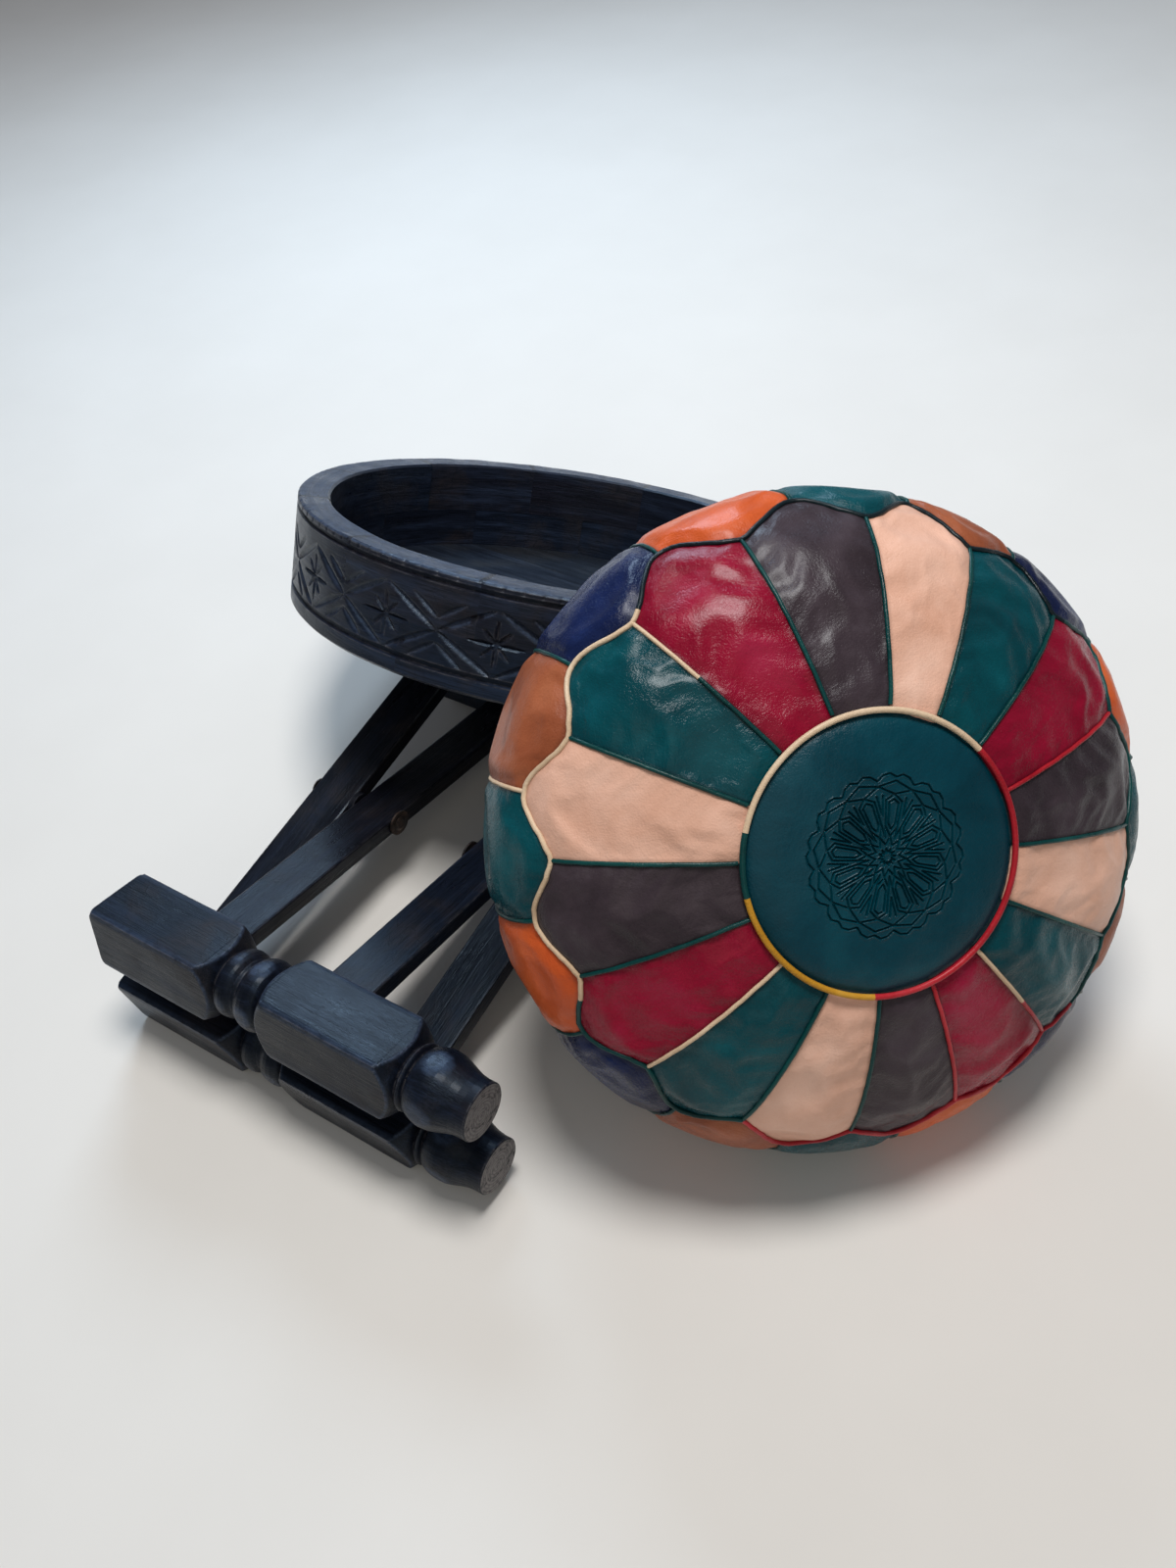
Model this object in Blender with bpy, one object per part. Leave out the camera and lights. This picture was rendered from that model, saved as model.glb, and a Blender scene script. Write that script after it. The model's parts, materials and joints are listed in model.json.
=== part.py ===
"""Folding tea table: a scissor stand lying folded, its loose round tray and its leather pouf.

Metres, +Z up. X runs along the foot bars towards their turned ends, Y from the feet to the tray.
The origin is the middle of the set's footprint, on the ground.
"""
from math import asin, atan2, cos, floor, pi, radians, sin, sqrt

import bmesh
import bpy
from mathutils import Matrix, Vector

# Fits
FIT = 0.0003                    # gap between pieces that touch
PIN_CLEARANCE = 0.0003          # radial gap of the holes round the pivot pins

# Foot bars: square stock, turned between and after two blocks
FOOT_SECTION = 0.050
FOOT_FIRST_BLOCK = 0.098
FOOT_SECOND_BLOCK = 0.092
FOOT_SHOULDER = 0.009           # run of a turned shoulder from corner to face
FOOT_QUIRK = 0.0025             # groove beside a bead
FOOT_SMALL_BEAD = 0.015
FOOT_BIG_BEAD = 0.0205
FOOT_RING = 0.006               # ring before the cup
FOOT_CUP = 0.0445               # turned cup that ends the bar
FOOT_CORNER_RADIUS = 0.0346     # turning radius that eases the block's corners
FOOT_NECK_RADIUS = 0.0212
FOOT_SMALL_BEAD_RADIUS = 0.0246
FOOT_BIG_BEAD_RADIUS = 0.0258
FOOT_RING_RADIUS = 0.0236
FOOT_CUP_RADIUS = 0.0262
FOOT_END_RADIUS = 0.0200

# Legs, rails and their pivots
LEG_WIDTH = 0.037
LEG_THICKNESS = 0.014
FOOT_TENON = 0.030
RAIL_TENON = 0.028
RAIL_LENGTH = 0.262
RAIL_WIDTH = 0.046
RAIL_THICKNESS = 0.028
EDGE_EASE = 0.0016              # eased edges of legs, rails and battens
OUTER_SPREAD = 0.192            # between the outer legs' centre lines
LEG_GAP = 0.0055                # between an outer leg and the inner leg beside it
FOOT_END_TO_LEGS = 0.1285       # plain end of a foot bar to the middle of the legs
PIVOT_TO_FOOT = 0.190
PIVOT_TO_RAIL = 0.195
PIN_RADIUS = 0.004
PIN_HEAD_RADIUS = 0.0075
PIN_HEAD_HEIGHT = 0.003
WASHER_RADIUS = 0.010
WASHER_THICKNESS = 0.0015
FOLD_ANGLE = radians(20.0)      # between the two frames as they lie
OPEN_ANGLE = radians(46.0)      # between them when the stand is open under its tray

# Tray: two courses of curved blocks round a boarded floor
TRAY_RADIUS = 0.2216
TRAY_WALL = 0.0254
TRAY_HEIGHT = 0.0813
TRAY_COURSE = 0.0400            # height of the lower course
TRAY_BLOCKS = 12                # curved blocks in a course
TRAY_LIP = 0.0048               # lip over the upper groove
TRAY_BASE = 0.0125              # plain base band
TRAY_GROOVE = 0.0034            # width of both turned grooves
TRAY_GROOVE_DEPTH = 0.0026
TRAY_EDGE = 0.0020              # rounding of the rim and the foot of the wall
FLOOR_THICKNESS = 0.0080
FLOOR_BOARDS = 4
BATTEN_PLAY = 0.0015            # batten's inner face to the open stand's rail
BATTEN_WIDTH = 0.030
BATTEN_THICKNESS = 0.018
TRAY_TILT = radians(27.85)
TRAY_SHIFT = -0.0125            # tray's middle from the legs' middle, along X

# Pouf: stuffed drum of sixteen panels with a round patch at each end
POUF_RADIUS = 0.2038
POUF_HALF_HEIGHT = 0.1103
POUF_SQUARENESS = 2.25          # exponent of the stuffed outline, 2 is an ellipse
POUF_PANELS = 16
POUF_SEAM_DEPTH = 0.0055
POUF_SEAM_RADIUS = 0.180        # ring seam between the end panels and the side panels
POUF_TURN = radians(-37.75)     # compass bearing of the front, from +X
POUF_LEAN = radians(37.2)       # how far the front looks up
POUF_ROLL = radians(6.0)        # turn of the panels about the pouf's axis
POUF_ALONG = 0.2916             # pouf's middle from the pivot, along X
POUF_SINK = 0.0030              # how far the weight flattens it on the ground
PATCH_RADIUS = 0.0775
PATCH_THICKNESS = 0.0025
PATCH_GAP = 0.0005
WELT_RADIUS = 0.0019            # cord round a patch

# Facets
FOOT_SIDES = 40
PIN_SIDES = 24
BLOCK_STEPS = 5                 # arc steps of one curved block
PANEL_STEPS = 4                 # points across one pouf panel
POUF_RINGS = 18
PATCH_SIDES = 48
ARC_STEPS = 4

INNER_SPREAD = OUTER_SPREAD - 2 * (LEG_WIDTH + LEG_GAP)
HALF_FOOT = FOOT_SECTION / 2
RAIL_TIP = PIVOT_TO_RAIL + RAIL_WIDTH / 2 - EDGE_EASE
TRAY_INNER = TRAY_RADIUS - TRAY_WALL
OPEN_HALF = OPEN_ANGLE / 2
OPEN_REACH = (PIVOT_TO_RAIL + RAIL_WIDTH / 2) * sin(OPEN_HALF) + RAIL_THICKNESS / 2 * cos(OPEN_HALF)
BATTEN_OFFSET = OPEN_REACH + BATTEN_PLAY + BATTEN_WIDTH / 2
BATTEN_LENGTH = 2 * sqrt((TRAY_RADIUS - TRAY_WALL / 2) ** 2 - BATTEN_OFFSET ** 2)

WOOD = ((0.012, 0.014, 0.022), 0.42, 0.0)
FLOOR_WOOD = ((0.020, 0.020, 0.026), 0.50, 0.0)
IRON = ((0.060, 0.058, 0.056), 0.45, 1.0)
CRIMSON_LEATHER = ((0.260, 0.010, 0.030), 0.35, 0.0)
GREEN_LEATHER = ((0.004, 0.080, 0.075), 0.32, 0.0)
PALE_LEATHER = ((0.620, 0.440, 0.300), 0.45, 0.0)


def clear_scene():
    for old in list(bpy.data.objects):
        bpy.data.objects.remove(old, do_unlink=True)


def finish(name, look):
    """One Principled material from (colour, roughness, metallic)."""
    colour, roughness, metallic = look
    mat = bpy.data.materials.new(name + "_finish")
    mat.use_nodes = True
    shader = mat.node_tree.nodes["Principled BSDF"]
    shader.inputs["Base Color"].default_value = (*colour, 1.0)
    shader.inputs["Roughness"].default_value = roughness
    shader.inputs["Metallic"].default_value = metallic
    return mat


def anchor(name, parent=None, location=(0, 0, 0), turn=None):
    """An empty that carries pieces; its matrix comes from a location and a rotation matrix."""
    empty = bpy.data.objects.new(name, None)
    bpy.context.collection.objects.link(empty)
    empty.parent = parent
    spin = turn if turn else Matrix.Identity(3)
    empty.matrix_basis = Matrix.Translation(location) @ spin.to_4x4()
    return empty


def piece(name, verts, faces, look, parent, location=(0, 0, 0), smooth=None):
    """A mesh object with outward faces, shaded smooth below the given edge angle."""
    mesh = bpy.data.meshes.new(name)
    mesh.from_pydata([tuple(v) for v in verts], [], faces)
    bm = bmesh.new()
    bm.from_mesh(mesh)
    bmesh.ops.recalc_face_normals(bm, faces=bm.faces)
    bm.to_mesh(mesh)
    bm.free()
    if smooth:
        mesh.shade_smooth()
        mesh.set_sharp_from_angle(angle=smooth)
    obj = bpy.data.objects.new(name, mesh)
    bpy.context.collection.objects.link(obj)
    obj.data.materials.append(finish(name, look))
    obj.parent = parent
    obj.location = location
    return obj


def ease(obj, width):
    bevel = obj.modifiers.new("eased_edges", "BEVEL")
    bevel.width = width
    bevel.segments = 2
    bevel.limit_method = "ANGLE"


def cut(obj, cutter):
    """Subtracts a cutter that stays in the scene as a hidden wire shape."""
    cutter.hide_render = True
    cutter.display_type = "WIRE"
    boolean = obj.modifiers.new(cutter.name, "BOOLEAN")
    boolean.operation = "DIFFERENCE"
    boolean.solver = "EXACT"
    boolean.object = cutter


def block(low, high):
    """Vertices and faces of an upright box between two corners."""
    corners = [(x, y, z) for z in (low[2], high[2]) for y in (low[1], high[1]) for x in (low[0], high[0])]
    faces = [(0, 2, 3, 1), (4, 5, 7, 6), (0, 1, 5, 4), (2, 6, 7, 3), (0, 4, 6, 2), (1, 3, 7, 5)]
    return corners, faces


def lathe_along_x(profile, sides):
    """A closed solid of revolution about X from (x, radius) points, with flat ends."""
    rings = [[(x, r * cos(2 * pi * k / sides), r * sin(2 * pi * k / sides)) for k in range(sides)]
             for x, r in profile]
    return loft(rings)


def loft(rings):
    """Closed solid through rings of equal count, capped by the first and the last."""
    count = len(rings[0])
    verts = [v for ring in rings for v in ring]
    faces = [tuple(range(count))[::-1]]
    for i in range(len(rings) - 1):
        for k in range(count):
            n = (k + 1) % count
            faces.append((i * count + k, i * count + n, (i + 1) * count + n, (i + 1) * count + k))
    faces.append(tuple(range((len(rings) - 1) * count, len(rings) * count)))
    return verts, faces


def bead(start, length, base, crest, steps=6):
    """Half-round bead as (x, radius) points, without its last point."""
    return [(start + length * k / steps, base + (crest - base) * sin(pi * k / steps) ** 0.7)
            for k in range(steps)]


def shoulder(start, rising, steps=5):
    """Rounded turned shoulder between the block's corner and its face."""
    drop = FOOT_CORNER_RADIUS - HALF_FOOT
    points = []
    for k in range(steps + 1):
        share = k / steps
        fall = 1 - cos(share * pi / 2)
        points.append((share * FOOT_SHOULDER, FOOT_CORNER_RADIUS - drop * fall ** 0.8))
    if rising:
        points = [(FOOT_SHOULDER - x, r) for x, r in reversed(points)]
    return [(start + x, r) for x, r in points]


def foot_profile():
    """Turning radius along a foot bar, from its plain end to the end of its cup."""
    end_ease = EDGE_EASE
    points = [(0.0, FOOT_CORNER_RADIUS - end_ease), (end_ease, FOOT_CORNER_RADIUS)]
    x = FOOT_FIRST_BLOCK
    points += shoulder(x, rising=False)
    x += FOOT_SHOULDER + FOOT_QUIRK
    points += bead(x, FOOT_SMALL_BEAD, FOOT_NECK_RADIUS, FOOT_SMALL_BEAD_RADIUS)
    x += FOOT_SMALL_BEAD
    points += [(x, FOOT_NECK_RADIUS)]
    x += FOOT_QUIRK
    points += bead(x, FOOT_BIG_BEAD, FOOT_NECK_RADIUS, FOOT_BIG_BEAD_RADIUS)
    x += FOOT_BIG_BEAD
    points += [(x, FOOT_NECK_RADIUS)]
    x += FOOT_QUIRK
    points += shoulder(x, rising=True)
    x += FOOT_SHOULDER + FOOT_SECOND_BLOCK
    points += shoulder(x, rising=False)
    x += FOOT_SHOULDER + FOOT_QUIRK
    points += bead(x, FOOT_RING, FOOT_NECK_RADIUS, FOOT_RING_RADIUS, steps=4)
    x += FOOT_RING
    points += [(x, FOOT_NECK_RADIUS)]
    x += FOOT_QUIRK
    points += cup(x)
    return points


def cup(start):
    """Turned cup: swells to its full radius, then tapers to the flat end."""
    swell = FOOT_CUP * 0.25
    neck = FOOT_CUP * 0.85
    points = []
    for k in range(5):
        angle = pi / 2 * k / 4
        rise = FOOT_CUP_RADIUS - FOOT_RING_RADIUS
        points.append((start + swell * k / 4, FOOT_RING_RADIUS + rise * sin(angle)))
    for k in range(1, 6):
        share = k / 5
        fall = (1 - cos(pi * share)) / 2
        points.append((start + swell + (neck - swell) * share,
                       FOOT_CUP_RADIUS - (FOOT_CUP_RADIUS - FOOT_END_RADIUS) * fall))
    points.append((start + FOOT_CUP - EDGE_EASE / 2, FOOT_END_RADIUS))
    points.append((start + FOOT_CUP, FOOT_END_RADIUS - EDGE_EASE / 2))
    return points


def foot_ring(x, radius):
    """Section of the square stock where the turning tool has cut it to a radius."""
    ring = []
    for k in range(FOOT_SIDES):
        c = cos(2 * pi * k / FOOT_SIDES)
        s = sin(2 * pi * k / FOOT_SIDES)
        reach = min(radius, HALF_FOOT / max(abs(c), abs(s)))
        ring.append((x - FOOT_END_TO_LEGS, -PIVOT_TO_FOOT + reach * c, reach * s))
    return ring


def build_frame(prefix, spread, carrier):
    """Foot bar, two legs and top rail of one frame; its pivot is the carrier's origin, legs along Y."""
    foot_back = -PIVOT_TO_FOOT + HALF_FOOT
    rail_low = PIVOT_TO_RAIL - RAIL_WIDTH / 2
    leg_from = foot_back - FOOT_TENON
    leg_to = rail_low + RAIL_TENON
    foot = piece(prefix + "_foot_bar", *loft([foot_ring(x, r) for x, r in foot_profile()]),
                 WOOD, carrier, smooth=radians(28))
    half_rail = Vector((RAIL_LENGTH, RAIL_WIDTH, RAIL_THICKNESS)) / 2
    rail = piece(prefix + "_top_rail", *block(-half_rail, half_rail), WOOD, carrier, (0, PIVOT_TO_RAIL, 0))
    ease(rail, EDGE_EASE)
    half_width = LEG_WIDTH / 2
    half_thick = LEG_THICKNESS / 2
    for side, sign in (("left", -1), ("right", 1)):
        place = (sign * spread / 2, 0, 0)
        leg = piece(f"{prefix}_leg_{side}",
                    *block((-half_width, leg_from, -half_thick), (half_width, leg_to, half_thick)),
                    WOOD, carrier, place)
        ease(leg, EDGE_EASE)
        bore = PIN_RADIUS + PIN_CLEARANCE
        hole = lathe_along_x([(-LEG_WIDTH, bore), (LEG_WIDTH, bore)], PIN_SIDES)
        cut(leg, piece(f"{prefix}_pivot_hole_{side}", *hole, WOOD, carrier, place))
        low = (-half_width - FIT, leg_from - FIT, -half_thick - FIT)
        high = (half_width + FIT, leg_to + FIT, half_thick + FIT)
        for owner, tag in ((foot, "foot"), (rail, "rail")):
            cut(owner, piece(f"{prefix}_{tag}_mortise_{side}", *block(low, high), WOOD, carrier, place))


def build_pivots(carrier):
    """Riveted pins through an outer and an inner leg, with a spacer between and a washer inside."""
    outside = OUTER_SPREAD / 2 + LEG_WIDTH / 2
    inside = INNER_SPREAD / 2 - LEG_WIDTH / 2
    head = outside + FIT
    rivet = inside - WASHER_THICKNESS - 2 * FIT
    eased = PIN_HEAD_HEIGHT / 3
    profile = [(rivet - PIN_HEAD_HEIGHT / 2, PIN_HEAD_RADIUS * 0.55),
               (rivet - eased / 2, PIN_HEAD_RADIUS * 0.8), (rivet, PIN_HEAD_RADIUS * 0.8),
               (rivet, PIN_RADIUS), (head, PIN_RADIUS), (head, PIN_HEAD_RADIUS),
               (head + eased, PIN_HEAD_RADIUS), (head + PIN_HEAD_HEIGHT, PIN_HEAD_RADIUS * 0.6)]
    between = (OUTER_SPREAD / 2 - LEG_WIDTH / 2 + INNER_SPREAD / 2 + LEG_WIDTH / 2) / 2
    spacer_half = LEG_GAP / 2 - FIT
    washer_from = inside - FIT - WASHER_THICKNESS
    for side, sign in (("left", -1), ("right", 1)):
        mirrored = [(sign * x, r) for x, r in profile]
        piece("pivot_pin_" + side, *lathe_along_x(mirrored, PIN_SIDES), IRON, carrier, smooth=radians(40))
        spacer = [sign * (between - spacer_half), sign * (between + spacer_half)]
        piece("pivot_spacer_" + side, *washer(*spacer), WOOD, carrier, smooth=radians(40))
        plate = [sign * washer_from, sign * (washer_from + WASHER_THICKNESS)]
        piece("pivot_washer_" + side, *washer(*plate), IRON, carrier, smooth=radians(40))


def washer(x0, x1):
    """Flat ring round the pivot pin, between two places along X."""
    hole = PIN_RADIUS + PIN_CLEARANCE
    loop = [(x0, hole), (x0, WASHER_RADIUS), (x1, WASHER_RADIUS), (x1, hole)]
    verts = []
    faces = []
    for k in range(PIN_SIDES):
        angle = 2 * pi * k / PIN_SIDES
        verts += [(x, r * cos(angle), r * sin(angle)) for x, r in loop]
        n = (k + 1) % PIN_SIDES
        for j in range(4):
            m = (j + 1) % 4
            faces.append((k * 4 + j, k * 4 + m, n * 4 + m, n * 4 + j))
    return verts, faces


def lower_course():
    """Section (radius, height) of the lower course: base band and lower groove."""
    deep = TRAY_RADIUS - TRAY_GROOVE_DEPTH
    return [(TRAY_INNER, 0), (TRAY_RADIUS - TRAY_EDGE, 0), (TRAY_RADIUS, TRAY_EDGE),
            (TRAY_RADIUS, TRAY_BASE - TRAY_EDGE / 2), (deep, TRAY_BASE), (deep, TRAY_BASE + TRAY_GROOVE),
            (TRAY_RADIUS, TRAY_BASE + TRAY_GROOVE + TRAY_EDGE / 2), (TRAY_RADIUS, TRAY_COURSE),
            (TRAY_INNER, TRAY_COURSE)]


def upper_course():
    """Section (radius, height) of the upper course: upper groove, lip and rounded rim."""
    low = TRAY_COURSE + FIT
    lip = TRAY_HEIGHT - TRAY_LIP
    deep = TRAY_RADIUS - TRAY_GROOVE_DEPTH
    return [(TRAY_INNER, low), (TRAY_RADIUS, low), (TRAY_RADIUS, lip - TRAY_GROOVE - TRAY_EDGE / 2),
            (deep, lip - TRAY_GROOVE), (deep, lip - TRAY_EDGE / 4), (TRAY_RADIUS, lip),
            (TRAY_RADIUS, TRAY_HEIGHT - TRAY_EDGE), (TRAY_RADIUS - TRAY_EDGE, TRAY_HEIGHT),
            (TRAY_INNER + TRAY_EDGE, TRAY_HEIGHT), (TRAY_INNER, TRAY_HEIGHT - TRAY_EDGE)]


def curved_block(section, start, end):
    """One block of a course: the section swept round the tray's axis between two angles."""
    rings = []
    for k in range(BLOCK_STEPS + 1):
        angle = start + (end - start) * k / BLOCK_STEPS
        rings.append([(r * cos(angle), r * sin(angle), z) for r, z in section])
    return loft(rings)


def build_tray(carrier):
    """Wall of staggered blocks, boarded floor and two battens; the carrier is the tray's bottom centre."""
    pitch = 2 * pi / TRAY_BLOCKS
    half_gap = FIT / 2 / TRAY_INNER
    for tag, section, stagger in (("lower", lower_course(), 0.0), ("upper", upper_course(), 0.5)):
        for i in range(TRAY_BLOCKS):
            start = (i + stagger) * pitch + half_gap
            verts, faces = curved_block(section, start, start + pitch - 2 * half_gap)
            piece(f"tray_{tag}_block_{i + 1:02d}", verts, faces, WOOD, carrier, smooth=radians(25))
    reach = TRAY_INNER * cos(pitch / BLOCK_STEPS / 2) - FIT
    board = 2 * reach / FLOOR_BOARDS
    for i in range(FLOOR_BOARDS):
        low = -reach + i * board + FIT / 2
        piece(f"tray_floor_board_{i + 1}", *floor_board(reach, low, low + board - FIT), FLOOR_WOOD, carrier)
    half = Vector((BATTEN_LENGTH, BATTEN_WIDTH, BATTEN_THICKNESS)) / 2
    for tag, sign in (("near", -1), ("far", 1)):
        batten = piece(f"tray_batten_{tag}", *block(-half, half), WOOD, carrier,
                       (0, sign * BATTEN_OFFSET, -half.z - FIT))
        ease(batten, EDGE_EASE)


def floor_board(reach, low, high):
    """Board across the tray: a strip of the floor's circle, its ends rounded to the circle."""
    steps = 3 * ARC_STEPS
    first = asin(max(-1.0, low / reach))
    last = asin(min(1.0, high / reach))
    angles = [first + (last - first) * k / steps for k in range(steps + 1)]
    outline = [(reach * cos(a), reach * sin(a)) for a in angles]
    outline += [(-reach * cos(a), reach * sin(a)) for a in reversed(angles)]
    outline = [p for i, p in enumerate(outline) if (Vector(p) - Vector(outline[i - 1])).length > FIT]
    return loft([[(x, y, z) for x, y in outline] for z in (0.0, FLOOR_THICKNESS)])


def pouf_height(radius):
    """Half height of the stuffed outline at a distance from the pouf's axis."""
    share = min(1.0, radius / POUF_RADIUS)
    return POUF_HALF_HEIGHT * (1 - share ** POUF_SQUARENESS) ** (1 / POUF_SQUARENESS)


def pouf_point(slope, angle):
    """Point of the cover: slope 0 to pi from the front to the back, angle round the axis."""
    power = 2 / POUF_SQUARENESS
    radius = POUF_RADIUS * sin(slope) ** power
    height = POUF_HALF_HEIGHT * abs(cos(slope)) ** power * (1 if slope < pi / 2 else -1)
    on_end = radius < POUF_SEAM_RADIUS
    panel = angle * POUF_PANELS / (2 * pi) + (0.0 if on_end else 0.5)
    across = abs(2 * (panel - floor(panel)) - 1)
    edge = min(1.0, max(0.0, (radius - PATCH_RADIUS) / PATCH_RADIUS))
    dip = POUF_SEAM_DEPTH * across ** 6 * (edge if on_end else 1.0)
    ring = POUF_SEAM_DEPTH * max(0.0, 1 - abs(radius - POUF_SEAM_RADIUS) / (4 * POUF_SEAM_DEPTH))
    pull = 1 - (dip + 0.6 * ring) / POUF_RADIUS
    return Vector((radius * cos(angle), radius * sin(angle), height)) * pull


def rest_on_ground(points, down, depth):
    """Presses points that lie further than a depth along a direction flat against that plane."""
    return [p - down * max(0.0, p.dot(down) - depth) for p in points]


def build_pouf(carrier, down, depth):
    """Stuffed cover, a round patch at each end and the cord round each patch."""
    count = POUF_PANELS * PANEL_STEPS
    slopes = [pi * (i + 1) / (POUF_RINGS + 1) for i in range(POUF_RINGS)]
    rings = [[pouf_point(s, 2 * pi * k / count) for k in range(count)] for s in slopes]
    verts, faces = loft([rest_on_ground(ring, down, depth) for ring in rings])
    faces = faces[1:-1]
    for pole, ring in ((POUF_HALF_HEIGHT, 0), (-POUF_HALF_HEIGHT, POUF_RINGS - 1)):
        verts.append(Vector((0, 0, pole)))
        hub = len(verts) - 1
        faces += [(hub, ring * count + k, ring * count + (k + 1) % count) for k in range(count)]
    piece("pouf_cover", verts, faces, CRIMSON_LEATHER, carrier, smooth=radians(50))
    for tag, sign in (("front", 1), ("back", -1)):
        piece(f"pouf_{tag}_patch", *patch(sign), GREEN_LEATHER, carrier, smooth=radians(40))
        piece(f"pouf_{tag}_welt", *welt(sign), PALE_LEATHER, carrier, smooth=radians(80))


def patch(sign):
    """Round leather patch lying on one end of the pouf."""
    radii = [PATCH_RADIUS * (k + 1) / ARC_STEPS for k in range(ARC_STEPS)]
    loop = [(r, pouf_height(r) + PATCH_GAP) for r in radii]
    loop += [(r, pouf_height(r) + PATCH_GAP + PATCH_THICKNESS) for r in reversed(radii)]
    rings = []
    for r, z in loop:
        angles = [2 * pi * k / PATCH_SIDES for k in range(PATCH_SIDES)]
        rings.append([(r * cos(a), r * sin(a), sign * z) for a in angles])
    return loft(rings)


def welt(sign):
    """Cord laid round the edge of a patch."""
    middle = PATCH_RADIUS + WELT_RADIUS + FIT
    height = pouf_height(middle) + PATCH_GAP + 1.1 * WELT_RADIUS
    sides = 6
    verts = []
    faces = []
    for k in range(PATCH_SIDES):
        angle = 2 * pi * k / PATCH_SIDES
        for j in range(sides):
            r = middle + WELT_RADIUS * cos(2 * pi * j / sides)
            z = height + WELT_RADIUS * sin(2 * pi * j / sides)
            verts.append((r * cos(angle), r * sin(angle), sign * z))
            n = (k + 1) % PATCH_SIDES
            m = (j + 1) % sides
            faces.append((k * sides + j, k * sides + m, n * sides + m, n * sides + j))
    return verts, faces


def outer_rise():
    """Angle at which the outer frame lies when its foot bar and the inner rail both rest on the ground."""
    drop = RAIL_TIP * sin(FOLD_ANGLE) + RAIL_THICKNESS / 2 * cos(FOLD_ANGLE) - HALF_FOOT
    run = RAIL_TIP * cos(FOLD_ANGLE) - RAIL_THICKNESS / 2 * sin(FOLD_ANGLE) + HALF_FOOT + PIVOT_TO_FOOT
    return atan2(drop, run)


def tray_place(rise, pivot_height):
    """Bottom centre of the tray leaning on the outer rail with its far edge on the ground."""
    rail_y = RAIL_TIP * cos(rise) - RAIL_THICKNESS / 2 * sin(rise)
    rail_z = pivot_height + RAIL_TIP * sin(rise) + RAIL_THICKNESS / 2 * cos(rise)
    seat = rail_z + FIT / cos(TRAY_TILT)
    beyond = TRAY_RADIUS - TRAY_EDGE - seat / sin(TRAY_TILT)
    return Vector((TRAY_SHIFT, rail_y - beyond * cos(TRAY_TILT), seat + beyond * sin(TRAY_TILT)))


def pouf_turn():
    """Rotation whose Z column is the pouf's front and whose Y column leans up."""
    front = Vector((cos(POUF_LEAN) * cos(POUF_TURN), cos(POUF_LEAN) * sin(POUF_TURN), sin(POUF_LEAN)))
    up = Vector((-sin(POUF_LEAN) * cos(POUF_TURN), -sin(POUF_LEAN) * sin(POUF_TURN), cos(POUF_LEAN)))
    side = up.cross(front)
    return Matrix((side, up, front)).transposed() @ Matrix.Rotation(POUF_ROLL, 3, "Z")


def pouf_place(turn, tray_matrix, ground_drop):
    """Centre of the pouf: on the ground, pushed along Y until its back meets the tray's wall."""
    wall = []
    for k in range(0, 360):
        x = TRAY_RADIUS * cos(radians(k))
        y = TRAY_RADIUS * sin(radians(k))
        for step in range(13):
            z = TRAY_EDGE + (TRAY_HEIGHT - 2 * TRAY_EDGE) * step / 12
            wall.append(tray_matrix @ Vector((x, y, z)))
    far = tray_matrix.translation.y
    near = far - TRAY_RADIUS - POUF_RADIUS - POUF_HALF_HEIGHT
    for step in range(24):
        middle = Vector((POUF_ALONG, (near + far) / 2, ground_drop))
        if any(inside_pouf(turn.transposed() @ (p - middle)) for p in wall):
            far = middle.y
        else:
            near = middle.y
    return Vector((POUF_ALONG, near, ground_drop))


def inside_pouf(p):
    """Whether a point lies in the pouf, its patches and their cords, grown by the fit."""
    radius = sqrt(p.x ** 2 + p.y ** 2)
    trimmed = PATCH_RADIUS + 2 * WELT_RADIUS + 2 * FIT
    if radius < trimmed and abs(p.z) < pouf_height(radius) + PATCH_GAP + 2.1 * WELT_RADIUS + FIT:
        return True
    return (radius / (POUF_RADIUS + FIT)) ** POUF_SQUARENESS \
        + (abs(p.z) / (POUF_HALF_HEIGHT + FIT)) ** POUF_SQUARENESS < 1


def pouf_drop(turn):
    """Height of the pouf's centre over its lowest point."""
    down = turn.transposed() @ Vector((0, 0, -1))
    across = sqrt(down.x ** 2 + down.y ** 2)
    power = POUF_SQUARENESS / (POUF_SQUARENESS - 1)
    return ((POUF_RADIUS * across) ** power + (POUF_HALF_HEIGHT * abs(down.z)) ** power) ** (1 / power)


def centre_on_ground(root):
    """Moves the set so that the middle of its footprint is the origin and its lowest point is at zero."""
    bpy.context.view_layer.update()
    solids = [o for o in bpy.data.objects if o.type == "MESH" and not o.hide_render]
    points = [o.matrix_world @ v.co for o in solids for v in o.data.vertices]
    for axis, share in ((0, 0.5), (1, 0.5), (2, 0.0)):
        low = min(p[axis] for p in points)
        high = max(p[axis] for p in points)
        root.location[axis] -= low + (high - low) * share
    bpy.context.view_layer.update()


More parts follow.
